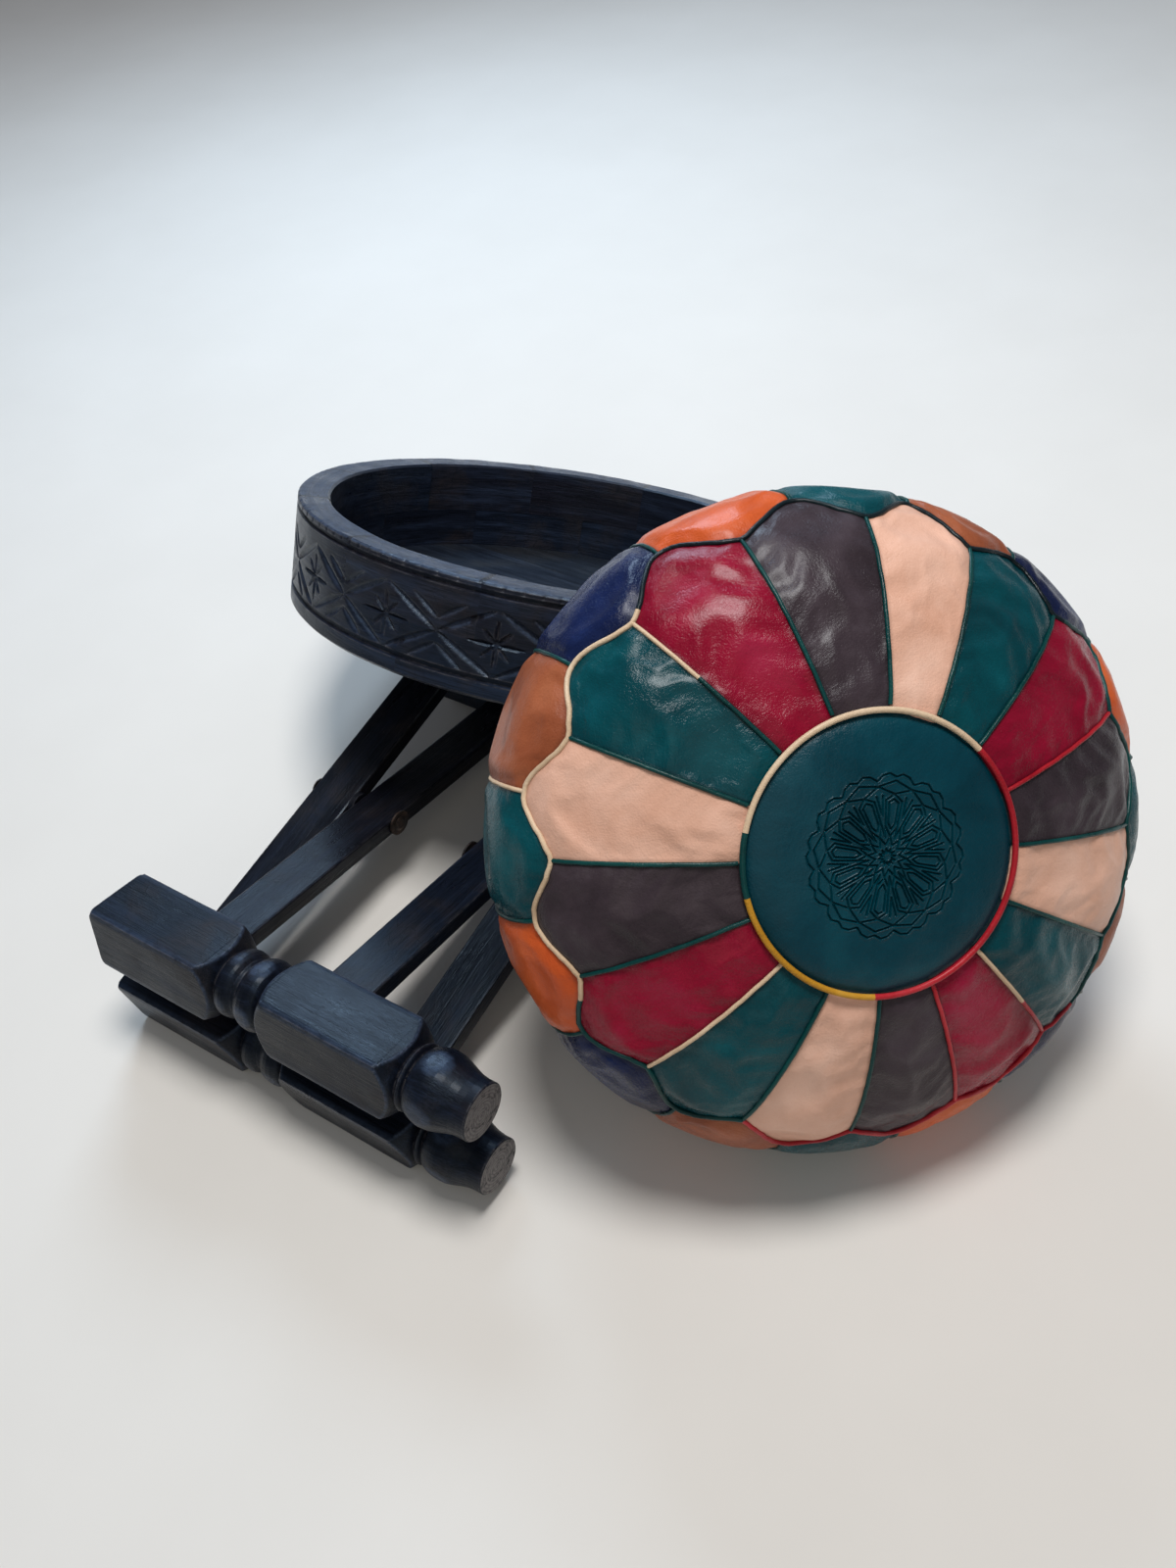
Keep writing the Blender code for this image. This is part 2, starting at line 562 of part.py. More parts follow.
def build():
    clear_scene()
    root = anchor("tea_table_set")
    rise = outer_rise()
    pivot_height = HALF_FOOT * (cos(rise) + sin(rise)) + PIVOT_TO_FOOT * sin(rise)
    pivot = (0, 0, pivot_height)
    outer = anchor("outer_frame_pivot", root, pivot, Matrix.Rotation(rise, 3, "X"))
    inner = anchor("inner_frame_pivot", root, pivot, Matrix.Rotation(rise - FOLD_ANGLE, 3, "X"))
    build_frame("outer", OUTER_SPREAD, outer)
    build_frame("inner", INNER_SPREAD, inner)
    build_pivots(outer)
    tray = anchor("tray_seat", root, tray_place(rise, pivot_height), Matrix.Rotation(-TRAY_TILT, 3, "X"))
    build_tray(tray)
    turn = pouf_turn()
    drop = pouf_drop(turn) - POUF_SINK
    pouf = anchor("pouf_middle", root, pouf_place(turn, tray.matrix_basis, drop), turn)
    build_pouf(pouf, turn.transposed() @ Vector((0, 0, -1)), drop)
    centre_on_ground(root)


build()
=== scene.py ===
"""Looks of the folding tea table: hand-carved black wood, riveted pins and a patchwork leather pouf."""

import json
from math import cos, pi, radians, sin

import bmesh
import bpy
import numpy as np
from mathutils import Matrix, Vector


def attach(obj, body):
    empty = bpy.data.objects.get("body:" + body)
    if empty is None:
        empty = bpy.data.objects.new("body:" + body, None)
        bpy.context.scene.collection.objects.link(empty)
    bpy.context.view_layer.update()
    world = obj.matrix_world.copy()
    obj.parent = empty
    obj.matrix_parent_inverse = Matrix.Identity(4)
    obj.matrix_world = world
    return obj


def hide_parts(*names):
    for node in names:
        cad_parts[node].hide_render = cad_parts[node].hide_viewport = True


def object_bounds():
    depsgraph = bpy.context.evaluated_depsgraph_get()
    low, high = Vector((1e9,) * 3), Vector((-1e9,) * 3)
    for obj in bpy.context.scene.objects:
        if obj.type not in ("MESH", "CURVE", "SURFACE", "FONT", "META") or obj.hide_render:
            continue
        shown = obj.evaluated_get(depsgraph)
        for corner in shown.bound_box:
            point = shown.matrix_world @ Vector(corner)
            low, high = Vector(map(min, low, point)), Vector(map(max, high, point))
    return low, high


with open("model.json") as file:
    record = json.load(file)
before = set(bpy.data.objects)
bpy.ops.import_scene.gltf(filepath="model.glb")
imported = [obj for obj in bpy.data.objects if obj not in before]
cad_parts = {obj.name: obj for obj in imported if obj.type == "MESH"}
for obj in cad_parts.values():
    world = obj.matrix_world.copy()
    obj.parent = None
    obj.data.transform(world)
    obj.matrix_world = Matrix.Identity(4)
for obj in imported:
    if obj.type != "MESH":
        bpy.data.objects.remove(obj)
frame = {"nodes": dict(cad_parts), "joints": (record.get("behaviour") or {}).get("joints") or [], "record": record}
cad_low, cad_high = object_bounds()

# Camera, in the shared frame, with the photograph taken as 1200 by 1600 pixels
CAMERA_PLACE = Vector((0.41876, -0.57994, 0.82669))
CAMERA_RIGHT = Vector((0.83766, 0.53550, -0.10759))
CAMERA_DOWN = Vector((0.33136, -0.65481, -0.67928))
FOCAL_PX = 1400
PHOTO_HEIGHT_PX = 1600
SENSOR_MM = 36

# Points of the solids nearer than this lie together, in metres and radians
SAME = 1e-5
SAME_BEARING = 1e-4

# Wood
UNALIGNED = (0.3, 0.2, 0.93)  # no piece's grain runs this way
GRAIN_SPREAD = 3  # metres of noise from which the pieces take their grain
NODE_WEAR = 0.9
BOARD_WEAR = 0.1
HAND_WOBBLE = 0.00035  # unevenness left by hand tools

# Unevenness as (radians per metre, seed)
WAVES = 5
FOOT_UNEVEN = (70, 3)
WALL_UNEVEN = (60, 11)
RIM_UNEVEN = (90, 23)
LEATHER_FOLDS = (330, 5)
DISC_UNEVEN = (110, 31)

# Edges with a smaller turn than this are shaded smooth
FOOT_SMOOTH = radians(24)
BLOCK_SMOOTH = radians(26)
CORD_SMOOTH = radians(60)
LEATHER_SMOOTH = radians(80)

# Tray's carving, in metres up from the tray's bottom
STARS = 16  # carved stars round the wall
STAR_BEARING = radians(266.5)  # one star, from the tray's X towards its Y
BAND_MIDDLE = 0.0400
BAND_HALF = 0.0238
CUT_DEPTH = 0.0030
CUT_HALF_WIDTH = 0.0030
LATTICE = ((0.02, 0.98), (1, 0))  # ends of a cut, in shares of half a star's pitch and half the band
CHEVRON = ((0.52, 0.95), (1, 0.36))
CHEVRON_HALF_WIDTH = 0.85 * CUT_HALF_WIDTH
CHEVRON_DEPTH = 0.8 * CUT_DEPTH
RAYS = ((0, 0.0205), (45, 0.0150), (90, 0.0175))  # degrees from along the band, length
RAY_TAIL = 0.10  # share of a ray that runs on past the star's middle
RAY_HALF_WIDTH = 0.0017
RAY_DEPTH = 0.75 * CUT_DEPTH

# Tray's wall
CLOSING = 0.98  # share of the play between the blocks that the dressed ones take up
CHIP_PITCH = 0.0125  # chips along the rim's outer edge
CHIP_DEPTH = 0.0008
CHIP_DRIFT = 0.6  # from even spacing, in pitches
CHIP_WAVES = 7  # of that drift round the wall
CHIP_SHARPNESS = 9
CHIP_HEIGHT = 0.004
TOP_FACE = 1e-4  # points this near the top are on the rim
FACET_RISE = 0.012  # height over the floor in which the blocks' inner faces start to differ
FACET_TURN = 0.003
FACET_SHIFT = 0.0003
FACET_BASE = 0.0004
FACET_LIMIT = 0.0012
FLOOR_PLAY = 0.00028  # closes the wall on the floor boards
REFINED_SKIN = 0.004  # depth under the outer face that gets more points
CARVED_SKIN = 0.0032  # depth under the outer face that the cuts move
INNER_SKIN = 0.003
BAND_STEP = 0.0010
PLAIN_STEP = 0.012
ARC_STEP = 0.0012
UPPER_SEED = 50
# Values over 1.5 also paint a bluish sheen on the wood, standing in for sky light reflected by the carved cuts and
# the rim's top
WALL_WEAR = 1.4
CUT_WEAR_AND_SHEEN = 1.3
RIM_WEAR_AND_SHEEN = 2.3
WEAR_INSET = 0.004  # no wear nearer to a block's ends
COURSE_INSET = 0.003  # no wear nearer to the joint between the courses
RIM_SKIN = 0.0016
RIM_INSET = 0.002

# Foot bars' turning, finer than the solids'
FOOT_SIDES = 96
FOOT_STEP = 0.0008
FULL_SECTION = 24  # a whole section of the solid has more points than this
CRISP = 70  # sharpness of the edge between a block's flats and its turning
GROOVE_DEPTH = 0.0013  # cut deeper than the solid's necks
GROOVE_WIDTH = 0.0016
EDGE_WEAR = 0.0016  # distance from a corner or shoulder over which the stain is rubbed
FOOT_WEAR = 1.3
FOOT_TINT = 0.40
FOOT_SHIFT = 0.002  # between the bars' grain

# Pouf
PANELS = 16
COLUMNS_PER_PANEL = 20
END_ROWS = 26
SIDE_ROWS = 30
POUF_ROLL = radians(6.0)
POUF_SQUARENESS = 2.25  # exponent of the stuffed outline, 2 is an ellipse
CUSP_RADIUS = 0.1785  # scalloped seam at a panel's seams
PEAK_RADIUS = 0.1908  # scalloped seam at a panel's middle
PEAK_SWING = 0.22  # how far the scallops differ, and how that goes on from panel to panel
SWING_STEP = 3.1
SWING_START = 0.7
OUTER_LIMIT = 0.985  # share of the pouf's radius that the scalloped seam stays within
TOP_REACH = 0.0080  # how much further out the scalloped seam runs at the top
TOP_SPREAD = 0.75
TOP_BEARING = radians(72)
SWAY_BASE = radians(1.0)  # seams' turn from even spacing
SWAY_DEPTH = radians(4.3)
SWAY_SPREAD = radians(32)
SEAM_SINK = 0.0012  # depths under the stuffed outline: seams between end panels
SIDE_SEAM_SINK = -0.0018  # seams between side panels, which stand proud
SCALLOP_SINK = 0.0002
DISC_SINK = 0.0026
LEAN_SINK = 0.0054  # deeper still at the lower left, where the stuffing is slack
LEAN_BEARING = radians(45)
SEAM_REACH = 0.0065  # distance over which a panel dips to its seam
ROW_STEP = 0.0036  # distance between the cover's rows
PANEL_SINK = -0.0005  # end panels before they swell
SIDE_SINK = -0.0040  # side panels before they swell
PUCKER = 0.0006
END_SWELL = 0.0032  # how far the simulated leather may move
SIDE_SWELL = 0.0018
PINNED_REACH = 0.0008  # leather nearer to a seam is held by it
SEAM_SHADE = 0.0032  # reach of the painted shade along a seam
HEM_SHADE = 0.012  # reach of the puckers and of the fainter painted shade along a seam
CAP_SHRINK = 0.62  # each closing ring under a disc against the one outside it
GROUND_GAP = 0.0002
TRAY_GAP = 0.0006
PRESS_STEP = 0.0008
PRESS_TRIES = 24
SWELL_FRAMES = 20
SWELL = {"quality": 6, "mass": 0.35, "tension_stiffness": 22, "compression_stiffness": 22, "shear_stiffness": 8,
         "bending_stiffness": 1.2, "air_damping": 3, "use_pressure": True, "uniform_pressure_force": 6,
         "shrink_min": -0.025, "vertex_group_mass": "seams"}

# Pouf's colours, in order round it, and its cords'
END_COLOURS = ("crimson", "green", "tan", "brown")
SIDE_COLOURS = ("orange", "navy", "saddle", "green")
SEAM_CORD = 0.0013  # radii of the cords
SCALLOP_CORD = 0.0016
DISC_CORD = 0.0018
CORD_SIDES = 8
CORD_RISE = 0.35  # of a cord's middle over the leather, in its radii
CORD_OFFSET = 0.6  # of a disc's cord from the disc's edge, in its radii
CREASE_SCALE = 9  # creases in cords and discs, which have no panels
SEAM_COLOURS = {0: ("red", "red"), 5: ("green", "cream"), 9: ("cream", "cream"), 12: ("red", "red"),
                13: ("cream", "red")}  # inner and outer half of a front seam; the others are green
CREAM_SIDE_SEAM = 6
SCALLOP_COLOURS = ((20, "green"), (110, "dark"), (184, "cream"), (225, "green"), (300, "red"), (360, "green"))
DISC_COLOURS = ((22, "red"), (146, "cream"), (172, "green"), (245, "mustard"), (360, "red"))  # up to a bearing

# Pouf's discs
EMBOSSED_GRID = (640, 150)  # columns, and rings within the pressed ornament
PLAIN_GRID = (240, 12)
OUTER_RINGS = 26
DISC_OVERLAP = 0.0008
PRESSED_RADIUS = 0.046
DISC_START = 0.015  # shares of the disc's radius: its first ring, then its rim with painted shade
SHADE_START = 0.94
SHADE_SPAN = 0.06
PAINTED_RIM_SHADE = 0.8
DISC_RISE = 0.0016
DISC_ROLL = 0.0034  # how far the edge turns down
ROLL_POWER = 14
DISC_WOBBLE = 0.0007

# Stage
FLOOR_CORNERS = ((-6, -6, 0), (6, -6, 0), (6, 6, 0), (-6, 6, 0))
LIGHTS = (
    ("sky_window", (-1.05, 1.1, 1.35), (0, 0, 0.1), 0.8, 19, (0.60, 0.79, 1.0)),
    ("overhead", (0.15, 0.05, 2.3), (0.10, 0, 0.1), 0.72, 38, (0.96, 0.96, 0.96)),
    ("front_soft", (1.2, -1.6, 1.6), (0, 0, 0.1), 2.2, 6.5, (1.0, 0.94, 0.76)),
)  # name, place, aim, size, watts, colour

rng = np.random.default_rng(7)


# Frame measurements

def node_points(*names):
    """Vertices of CAD nodes at rest, as an array."""
    return np.array([v.co for n in names for v in frame["nodes"][n].data.vertices], float)


def nodes_starting(*starts):
    return sorted(n for n in frame["nodes"] if n.startswith(starts))


def joint(name):
    return next(j for j in frame["joints"] if j["name"] == name)


class Turned:
    """A local frame: origin and three unit axes; to_world maps rows of local places to the shared frame."""

    def __init__(self, origin, x, y, z):
        self.origin = np.array(origin, float)
        self.axes = np.array([x, y, z], float)

    def to_world(self, local):
        return np.asarray(local) @ self.axes + self.origin

    def to_local(self, world):
        return (np.asarray(world) - self.origin) @ self.axes.T


def tray_frame():
    """Tray's bottom centre, with Z along its axis and Y down the slope."""
    up = np.array(frame["record"]["mounts"][0]["axis"], float)
    across = np.array([1.0, 0.0, 0.0])
    slope = np.cross(up, across)
    turned = Turned((0, 0, 0), across, slope, up)
    local = turned.to_local(node_points(*nodes_starting("tray_lower_block", "tray_upper_block")))
    low, high = local.min(0), local.max(0)
    centre = np.array([(low[0] + high[0]) / 2, (low[1] + high[1]) / 2, low[2]])
    turned.origin = turned.to_world(centre)
    return turned


def pouf_frame():
    """Pouf's middle, with Z along its front and panels' seams at multiples of a panel from X."""
    front = Vector(joint("pouf_lift")["axis"]).normalized()
    level = Vector((0, 0, 1)).cross(front).normalized()
    lean = front.cross(level)
    side = level * cos(POUF_ROLL) + lean * sin(POUF_ROLL)
    upper = lean * cos(POUF_ROLL) - level * sin(POUF_ROLL)
    ends = [node_points(f"pouf_{end}_patch") for end in ("front", "back")]
    middle = sum((e.min(0) + e.max(0)) / 2 for e in ends) / 2
    return Turned(middle, side, upper, front)


TRAY = tray_frame()
POUF = pouf_frame()
blocks = TRAY.to_local(node_points(*nodes_starting("tray_upper_block")))
TRAY_RADIUS = np.hypot(blocks[:, 0], blocks[:, 1]).max()
TRAY_INNER = np.hypot(blocks[:, 0], blocks[:, 1]).min()
TRAY_HEIGHT = blocks[:, 2].max()
COURSE_HEIGHT = blocks[:, 2].min()
lower = TRAY.to_local(node_points(*nodes_starting("tray_lower_block")))
JOINT_PLAY = CLOSING * (COURSE_HEIGHT - lower[:, 2].max())
BLOCKS = len(nodes_starting("tray_upper_block"))
FLOOR_TOP = TRAY.to_local(node_points(*nodes_starting("tray_floor_board")))[:, 2].max()
cover = POUF.to_local(node_points("pouf_cover"))
POUF_RADIUS = np.hypot(cover[:, 0], cover[:, 1]).max()
POUF_HALF_HEIGHT = np.abs(cover[:, 2]).max()
patch = POUF.to_local(node_points("pouf_front_patch"))
DISC_RADIUS = np.hypot(patch[:, 0], patch[:, 1]).max()


# Materials

class Nodes:
    """One material's node tree. Each method adds a node and returns its output socket."""

    def __init__(self, name):
        self.material = bpy.data.materials.new(name)
        self.material.use_nodes = True
        self.tree = self.material.node_tree
        self.shader = self.tree.nodes["Principled BSDF"]

    def put(self, socket, value):
        if isinstance(value, bpy.types.NodeSocket):
            self.tree.links.new(value, socket)
        else:
            socket.default_value = value

    def node(self, kind, inputs, **settings):
        made = self.tree.nodes.new(kind)
        for key, value in settings.items():
            setattr(made, key, value)
        for key, value in inputs.items():
            self.put(made.inputs[key], value)
        return made

    def attribute(self, name, output="Vector"):
        return self.node("ShaderNodeAttribute", {}, attribute_name=name).outputs[output]

    def stretched(self, vector, scale):
        return self.node("ShaderNodeVectorMath", {0: vector, 1: scale}, operation="MULTIPLY").outputs[0]

    def noise(self, vector, scale, detail=4.0, roughness=0.55, distortion=0.0):
        made = self.node("ShaderNodeTexNoise", {"Vector": vector, "Scale": scale, "Detail": detail,
                                                "Roughness": roughness, "Distortion": distortion})
        return made.outputs["Fac"]

    def cells(self, vector, scale, feature="F1"):
        return self.node("ShaderNodeTexVoronoi", {"Vector": vector, "Scale": scale},
                         feature=feature).outputs["Distance"]

    def maths(self, operation, a, b=0.0, clamp=False):
        return self.node("ShaderNodeMath", {0: a, 1: b}, operation=operation, use_clamp=clamp).outputs[0]

    def span(self, value, low, high, to_low=0.0, to_high=1.0):
        made = self.node("ShaderNodeMapRange", {"Value": value, "From Min": low, "From Max": high,
                                                "To Min": to_low, "To Max": to_high})
        return made.outputs["Result"]

    def ramp(self, factor, stops):
        made = self.node("ShaderNodeValToRGB", {"Fac": factor})
        elements = made.color_ramp.elements
        while len(elements) < len(stops):
            elements.new(0.5)
        for element, (place, colour) in zip(elements, stops):
            element.position = place
            element.color = (*colour, 1.0)
        return made.outputs["Color"]

    def mix(self, factor, a, b, blend="MIX"):
        made = self.tree.nodes.new("ShaderNodeMix")
        made.data_type = "RGBA"
        made.blend_type = blend
        self.put(made.inputs[0], factor)
        for index, value in ((6, a), (7, b)):
            self.put(made.inputs[index], (*value, 1.0) if isinstance(value, tuple) else value)
        return made.outputs[2]

    def bump(self, height, distance, strength, normal=None):
        inputs = {"Height": height, "Distance": distance, "Strength": strength}
        if normal is not None:
            inputs["Normal"] = normal
        return self.node("ShaderNodeBump", inputs).outputs["Normal"]

    def bumps(self, *layers):
        """Stacks bumps, each given as height, distance and strength."""
        normal = None
        for layer in layers:
            normal = self.bump(*layer, normal)
        return normal

    def edges(self, radius):
        """Grows from 0 on flat faces towards edges, out of the rounded normal's turn."""
        rounded = self.node("ShaderNodeBevel", {"Radius": radius}, samples=4).outputs[0]
        plain = self.tree.nodes.new("ShaderNodeNewGeometry").outputs["Normal"]
        same = self.node("ShaderNodeVectorMath", {0: rounded, 1: plain}, operation="DOT_PRODUCT")
        return self.maths("SUBTRACT", 1.0, same.outputs["Value"], clamp=True)

    def finish(self, **inputs):
        for key, value in inputs.items():
            self.put(self.shader.inputs[key.replace("_", " ")], value)
        return self.material


def linear(*srgb):
    """Linear colour of 0 to 255 sRGB values."""
    return tuple((c / 255 / 12.92) if c < 10 else ((c / 255 + 0.055) / 1.055) ** 2.4 for c in srgb)


def stained_wood(name, dark, mid, light, worn, gloss, shine):
    """Black-stained wood: streaks along the grain attribute, pores, cracks, blotches, rubbed edges and a painted
    bluish sheen on carved flanks and the rim.
    """
    n = Nodes(name)
    grain = n.attribute("grain")
    wear_and_sheen = n.attribute("wear_and_sheen", "Fac")
    tint = n.attribute("tint", "Fac")
    streaks = n.noise(n.stretched(grain, (6, 95, 95)), 1.0, 6.0, 0.62, 0.7)
    pores = n.noise(n.stretched(grain, (45, 1100, 1100)), 1.0, 3.0, 0.6)
    blotches = n.noise(grain, 17.0, 5.0, 0.6, 0.4)
    scuffs = n.noise(n.stretched(grain, (140, 260, 260)), 1.0, 4.0, 0.7)
    cracks = n.cells(n.stretched(grain, (55, 130, 130)), 1.0, "DISTANCE_TO_EDGE")
    cast = n.ramp(tint, [(0.0, linear(34, 24, 22)), (0.45, mid), (1.0, linear(26, 34, 50))])
    colour = n.mix(0.4, n.ramp(streaks, [(0.30, dark), (0.52, mid), (0.74, light)]), cast)
    colour = n.mix(n.span(blotches, 0.52, 0.75, 0.0, 0.7), colour, worn)
    colour = n.mix(n.span(pores, 0.52, 0.40, 0.0, 0.65), colour, dark)
    cracked = n.maths("MULTIPLY", n.span(cracks, 0.035, 0.008), n.span(blotches, 0.50, 0.60, 0.0, 0.4))
    colour = n.mix(cracked, colour, dark)
    rubbed = n.maths("MULTIPLY", n.span(n.edges(0.0020), 0.015, 0.12), n.span(scuffs, 0.40, 0.60))
    rubbed = n.maths("MULTIPLY", rubbed, wear_and_sheen)
    colour = n.mix(rubbed, colour, tuple(0.45 * w + 0.55 * v for w, v in zip(worn, linear(92, 92, 98))))
    speck = n.maths("MULTIPLY", n.span(scuffs, 0.70, 0.77), n.maths("MULTIPLY", wear_and_sheen, 0.4))
    colour = n.mix(speck, colour, linear(84, 84, 88))
    # Painted sheen: over 1.5 on this channel, a bluish light colour stands in for sky reflected by the carved
    # cuts' flanks and the rim's top; on the foot bars' rubbed edges it marks worn stain
    painted_sheen_and_wear = n.maths("MULTIPLY", n.span(wear_and_sheen, 1.5, 2.3, 0.0, 0.55), n.span(scuffs, 0.36, 0.60, 0.3, 1.0))
    colour = n.mix(painted_sheen_and_wear, colour, linear(66, 80, 104))
    rough = n.maths("ADD", n.span(blotches, 0.32, 0.68, gloss - 0.12, gloss + 0.12),
                    n.span(streaks, 0.32, 0.68, -0.09, 0.10))
    normal = n.bumps((streaks, 0.0009, 0.6), (pores, 0.00035, 0.7), (blotches, 0.0024, 0.35),
                     (cracked, 0.0004, 0.4))
    return n.finish(Base_Color=colour, Roughness=rough, Normal=normal, Specular_IOR_Level=shine,
                    Specular_Tint=(0.58, 0.79, 1.0, 1.0), Coat_Weight=0.06, Coat_Roughness=0.2)


def end_grain(name):
    """Bare-looking end grain: growth rings and checks under a thin stain."""
    n = Nodes(name)
    grain = n.attribute("grain")
    across = n.node("ShaderNodeVectorMath", {0: n.stretched(grain, (0, 1, 1))}, operation="LENGTH")
    rings = n.maths("SINE", n.maths("ADD", n.maths("MULTIPLY", across.outputs["Value"], 2600.0),
                                    n.maths("MULTIPLY", n.noise(grain, 60.0), 7.0)))
    spots = n.noise(grain, 240.0, 5.0, 0.7)
    colour = n.mix(n.span(rings, -1.0, 1.0, 0.15, 0.6), linear(76, 73, 73), linear(136, 130, 128))
    colour = n.mix(n.span(spots, 0.5, 0.68), colour, linear(20, 20, 26))
    normal = n.bump(spots, 0.0008, 0.8)
    return n.finish(Base_Color=colour, Roughness=n.span(spots, 0.3, 0.7, 0.5, 0.75), Normal=normal)


def pin_iron(name):
    """Dark iron with a rubbed bloom and fine pits."""
    n = Nodes(name)
    grain = n.attribute("grain")
    pits = n.noise(grain, 900.0, 5.0, 0.7)
    bloom = n.noise(grain, 160.0, 4.0)
    colour = n.mix(n.span(bloom, 0.4, 0.7), linear(52, 50, 50), linear(84, 66, 56))
    return n.finish(Base_Color=colour, Metallic=n.span(bloom, 0.3, 0.75, 0.95, 0.55),
                    Roughness=n.span(pits, 0.3, 0.7, 0.38, 0.62), Normal=n.bump(pits, 0.0004, 0.7))


def leather(name, base, deep, bright, gloss=0.24, mottle=0.25, crumple=1.0):
    """Dyed sheepskin: fine grain, dye mottling, creases, puckers along the seams and painted shade darkening
    towards the seams.
    """
    n = Nodes(name)
    skin = n.attribute("grain")
    seam = n.attribute("seam", "Fac")
    hem = n.attribute("hem", "Fac")
    panel = n.attribute("panel")
    fine = n.cells(skin, 820.0)
    pebble = n.noise(skin, 380.0, 4.0, 0.65)
    dye = n.noise(skin, 17.0, 6.0, 0.62, 0.5)
    crease = n.noise(n.stretched(panel, (2.2, 34.0, 1.0)), 1.0, 4.0, 0.55, 1.2)
    slack = n.noise(skin, 46.0, 5.0, 0.55, 1.4)
    wrinkles = n.noise(n.stretched(panel, (10.0, 3.5, 1.0)), 1.0, 5.0, 0.6, 1.8)
    scratch = n.noise(n.stretched(panel, (26.0, 5.0, 1.0)), 1.0, 6.0, 0.75, 2.2)
    colour = n.ramp(dye, [(0.30, deep), (0.54, base), (0.82, bright)])
    colour = n.mix(n.maths("MULTIPLY", n.span(scratch, 0.63, 0.72), mottle), colour, bright)
    colour = n.mix(n.span(fine, 0.35, 0.05, 0.0, 0.3), colour, deep)
    # Painted shade: darker towards the seams where the panels dip to them, darkest along the seam line
    colour = n.mix(n.span(hem, 0.15, 1.0, 0.0, 0.35), colour, deep)
    colour = n.mix(n.span(seam, 0.35, 1.0, 0.0, 0.8), colour, tuple(0.4 * c for c in deep))
    rough = n.maths("ADD", n.span(dye, 0.3, 0.7, gloss - 0.04, gloss + 0.07),
                    n.span(pebble, 0.3, 0.7, -0.05, 0.07))
    pucker = n.maths("MULTIPLY", crease, n.span(hem, 0.0, 0.7, 0.08, 1.0))
    normal = n.bumps((slack, 0.0055, 0.12 * crumple), (wrinkles, 0.0030, 0.06 * crumple),
                     (pucker, 0.0030, 0.25 * crumple), (pebble, 0.00050, 0.62), (fine, 0.00025, 0.5))
    return n.finish(Base_Color=colour, Roughness=rough, Normal=normal, Specular_IOR_Level=0.15,
                    Coat_Weight=0.14, Coat_Roughness=0.22)


def pale_floor():
    """Plain pale ground, faintly uneven."""
    n = Nodes("pale_floor")
    place = n.node("ShaderNodeTexCoord", {}).outputs["Object"]
    tone = n.noise(place, 5.0, 4.0)
    colour = n.ramp(tone, [(0.3, (0.76, 0.72, 0.665)), (0.7, (0.79, 0.75, 0.695))])
    return n.finish(Base_Color=colour, Roughness=0.9)


WOOD_DARK = linear(6, 8, 12)
WOOD_MID = linear(15, 19, 30)
WOOD_LIGHT = linear(31, 41, 60)
WOOD_WORN = linear(50, 41, 37)
carved_wood = stained_wood("carved_black_wood", linear(9, 11, 16), linear(24, 30, 44), linear(49, 62, 86),
                           WOOD_WORN, 0.36, 0.28)
frame_wood = stained_wood("black_frame_wood", WOOD_DARK, WOOD_MID, WOOD_LIGHT, WOOD_WORN, 0.38, 0.17)
floor_wood = stained_wood("black_floor_wood", linear(14, 16, 20), linear(32, 37, 46), linear(60, 67, 80),
                          linear(46, 42, 37), 0.44, 0.28)
end_wood = end_grain("end_grain")
iron = pin_iron("pivot_iron")


def dyed(kind, shades):
    """Leathers by colour, from rows of base, deep and bright sRGB shades and what differs in the finish."""
    return {colour: leather(f"{colour}_{kind}", *(linear(*shade) for shade in row[:3]), *row[3:])
            for colour, row in shades.items()}


LEATHER = dyed("leather", {
    "crimson": ((142, 9, 42), (110, 3, 28), (166, 34, 70)),
    "green": ((0, 69, 76), (0, 49, 56), (12, 96, 104)),
    "tan": ((228, 180, 156), (212, 160, 134), (236, 196, 175), 0.36, 0.2, 0.35),
    "brown": ((63, 52, 57), (43, 34, 38), (92, 82, 88), 0.30, 0.5),
    "orange": ((208, 94, 44), (178, 68, 26), (222, 118, 68), 0.33, 0.25, 0.6),
    "navy": ((16, 29, 70), (7, 15, 44), (36, 54, 104)),
    "saddle": ((160, 88, 56), (126, 62, 36), (182, 112, 76), 0.35, 0.25, 0.6),
    "disc": ((0, 57, 69), (0, 42, 52), (8, 73, 84), 0.31, 0.12),
})
CORD = dyed("cord", {
    "green": ((6, 62, 60), (0, 40, 40), (22, 84, 80), 0.30),
    "cream": ((216, 188, 156), (188, 156, 122), (230, 208, 180), 0.42),
    "red": ((180, 34, 44), (138, 16, 28), (204, 72, 78), 0.33),
    "mustard": ((198, 142, 40), (160, 106, 22), (216, 168, 76), 0.38),
    "dark": ((18, 32, 36), (7, 14, 18), (38, 56, 60), 0.30),
})


# Mesh helpers

def new_object(name, verts, faces):
    """A mesh object in the scene."""
    mesh = bpy.data.meshes.new(name)
    mesh.from_pydata([tuple(v) for v in verts], [], faces)
    obj = bpy.data.objects.new(name, mesh)
    bpy.context.scene.collection.objects.link(obj)
    return obj


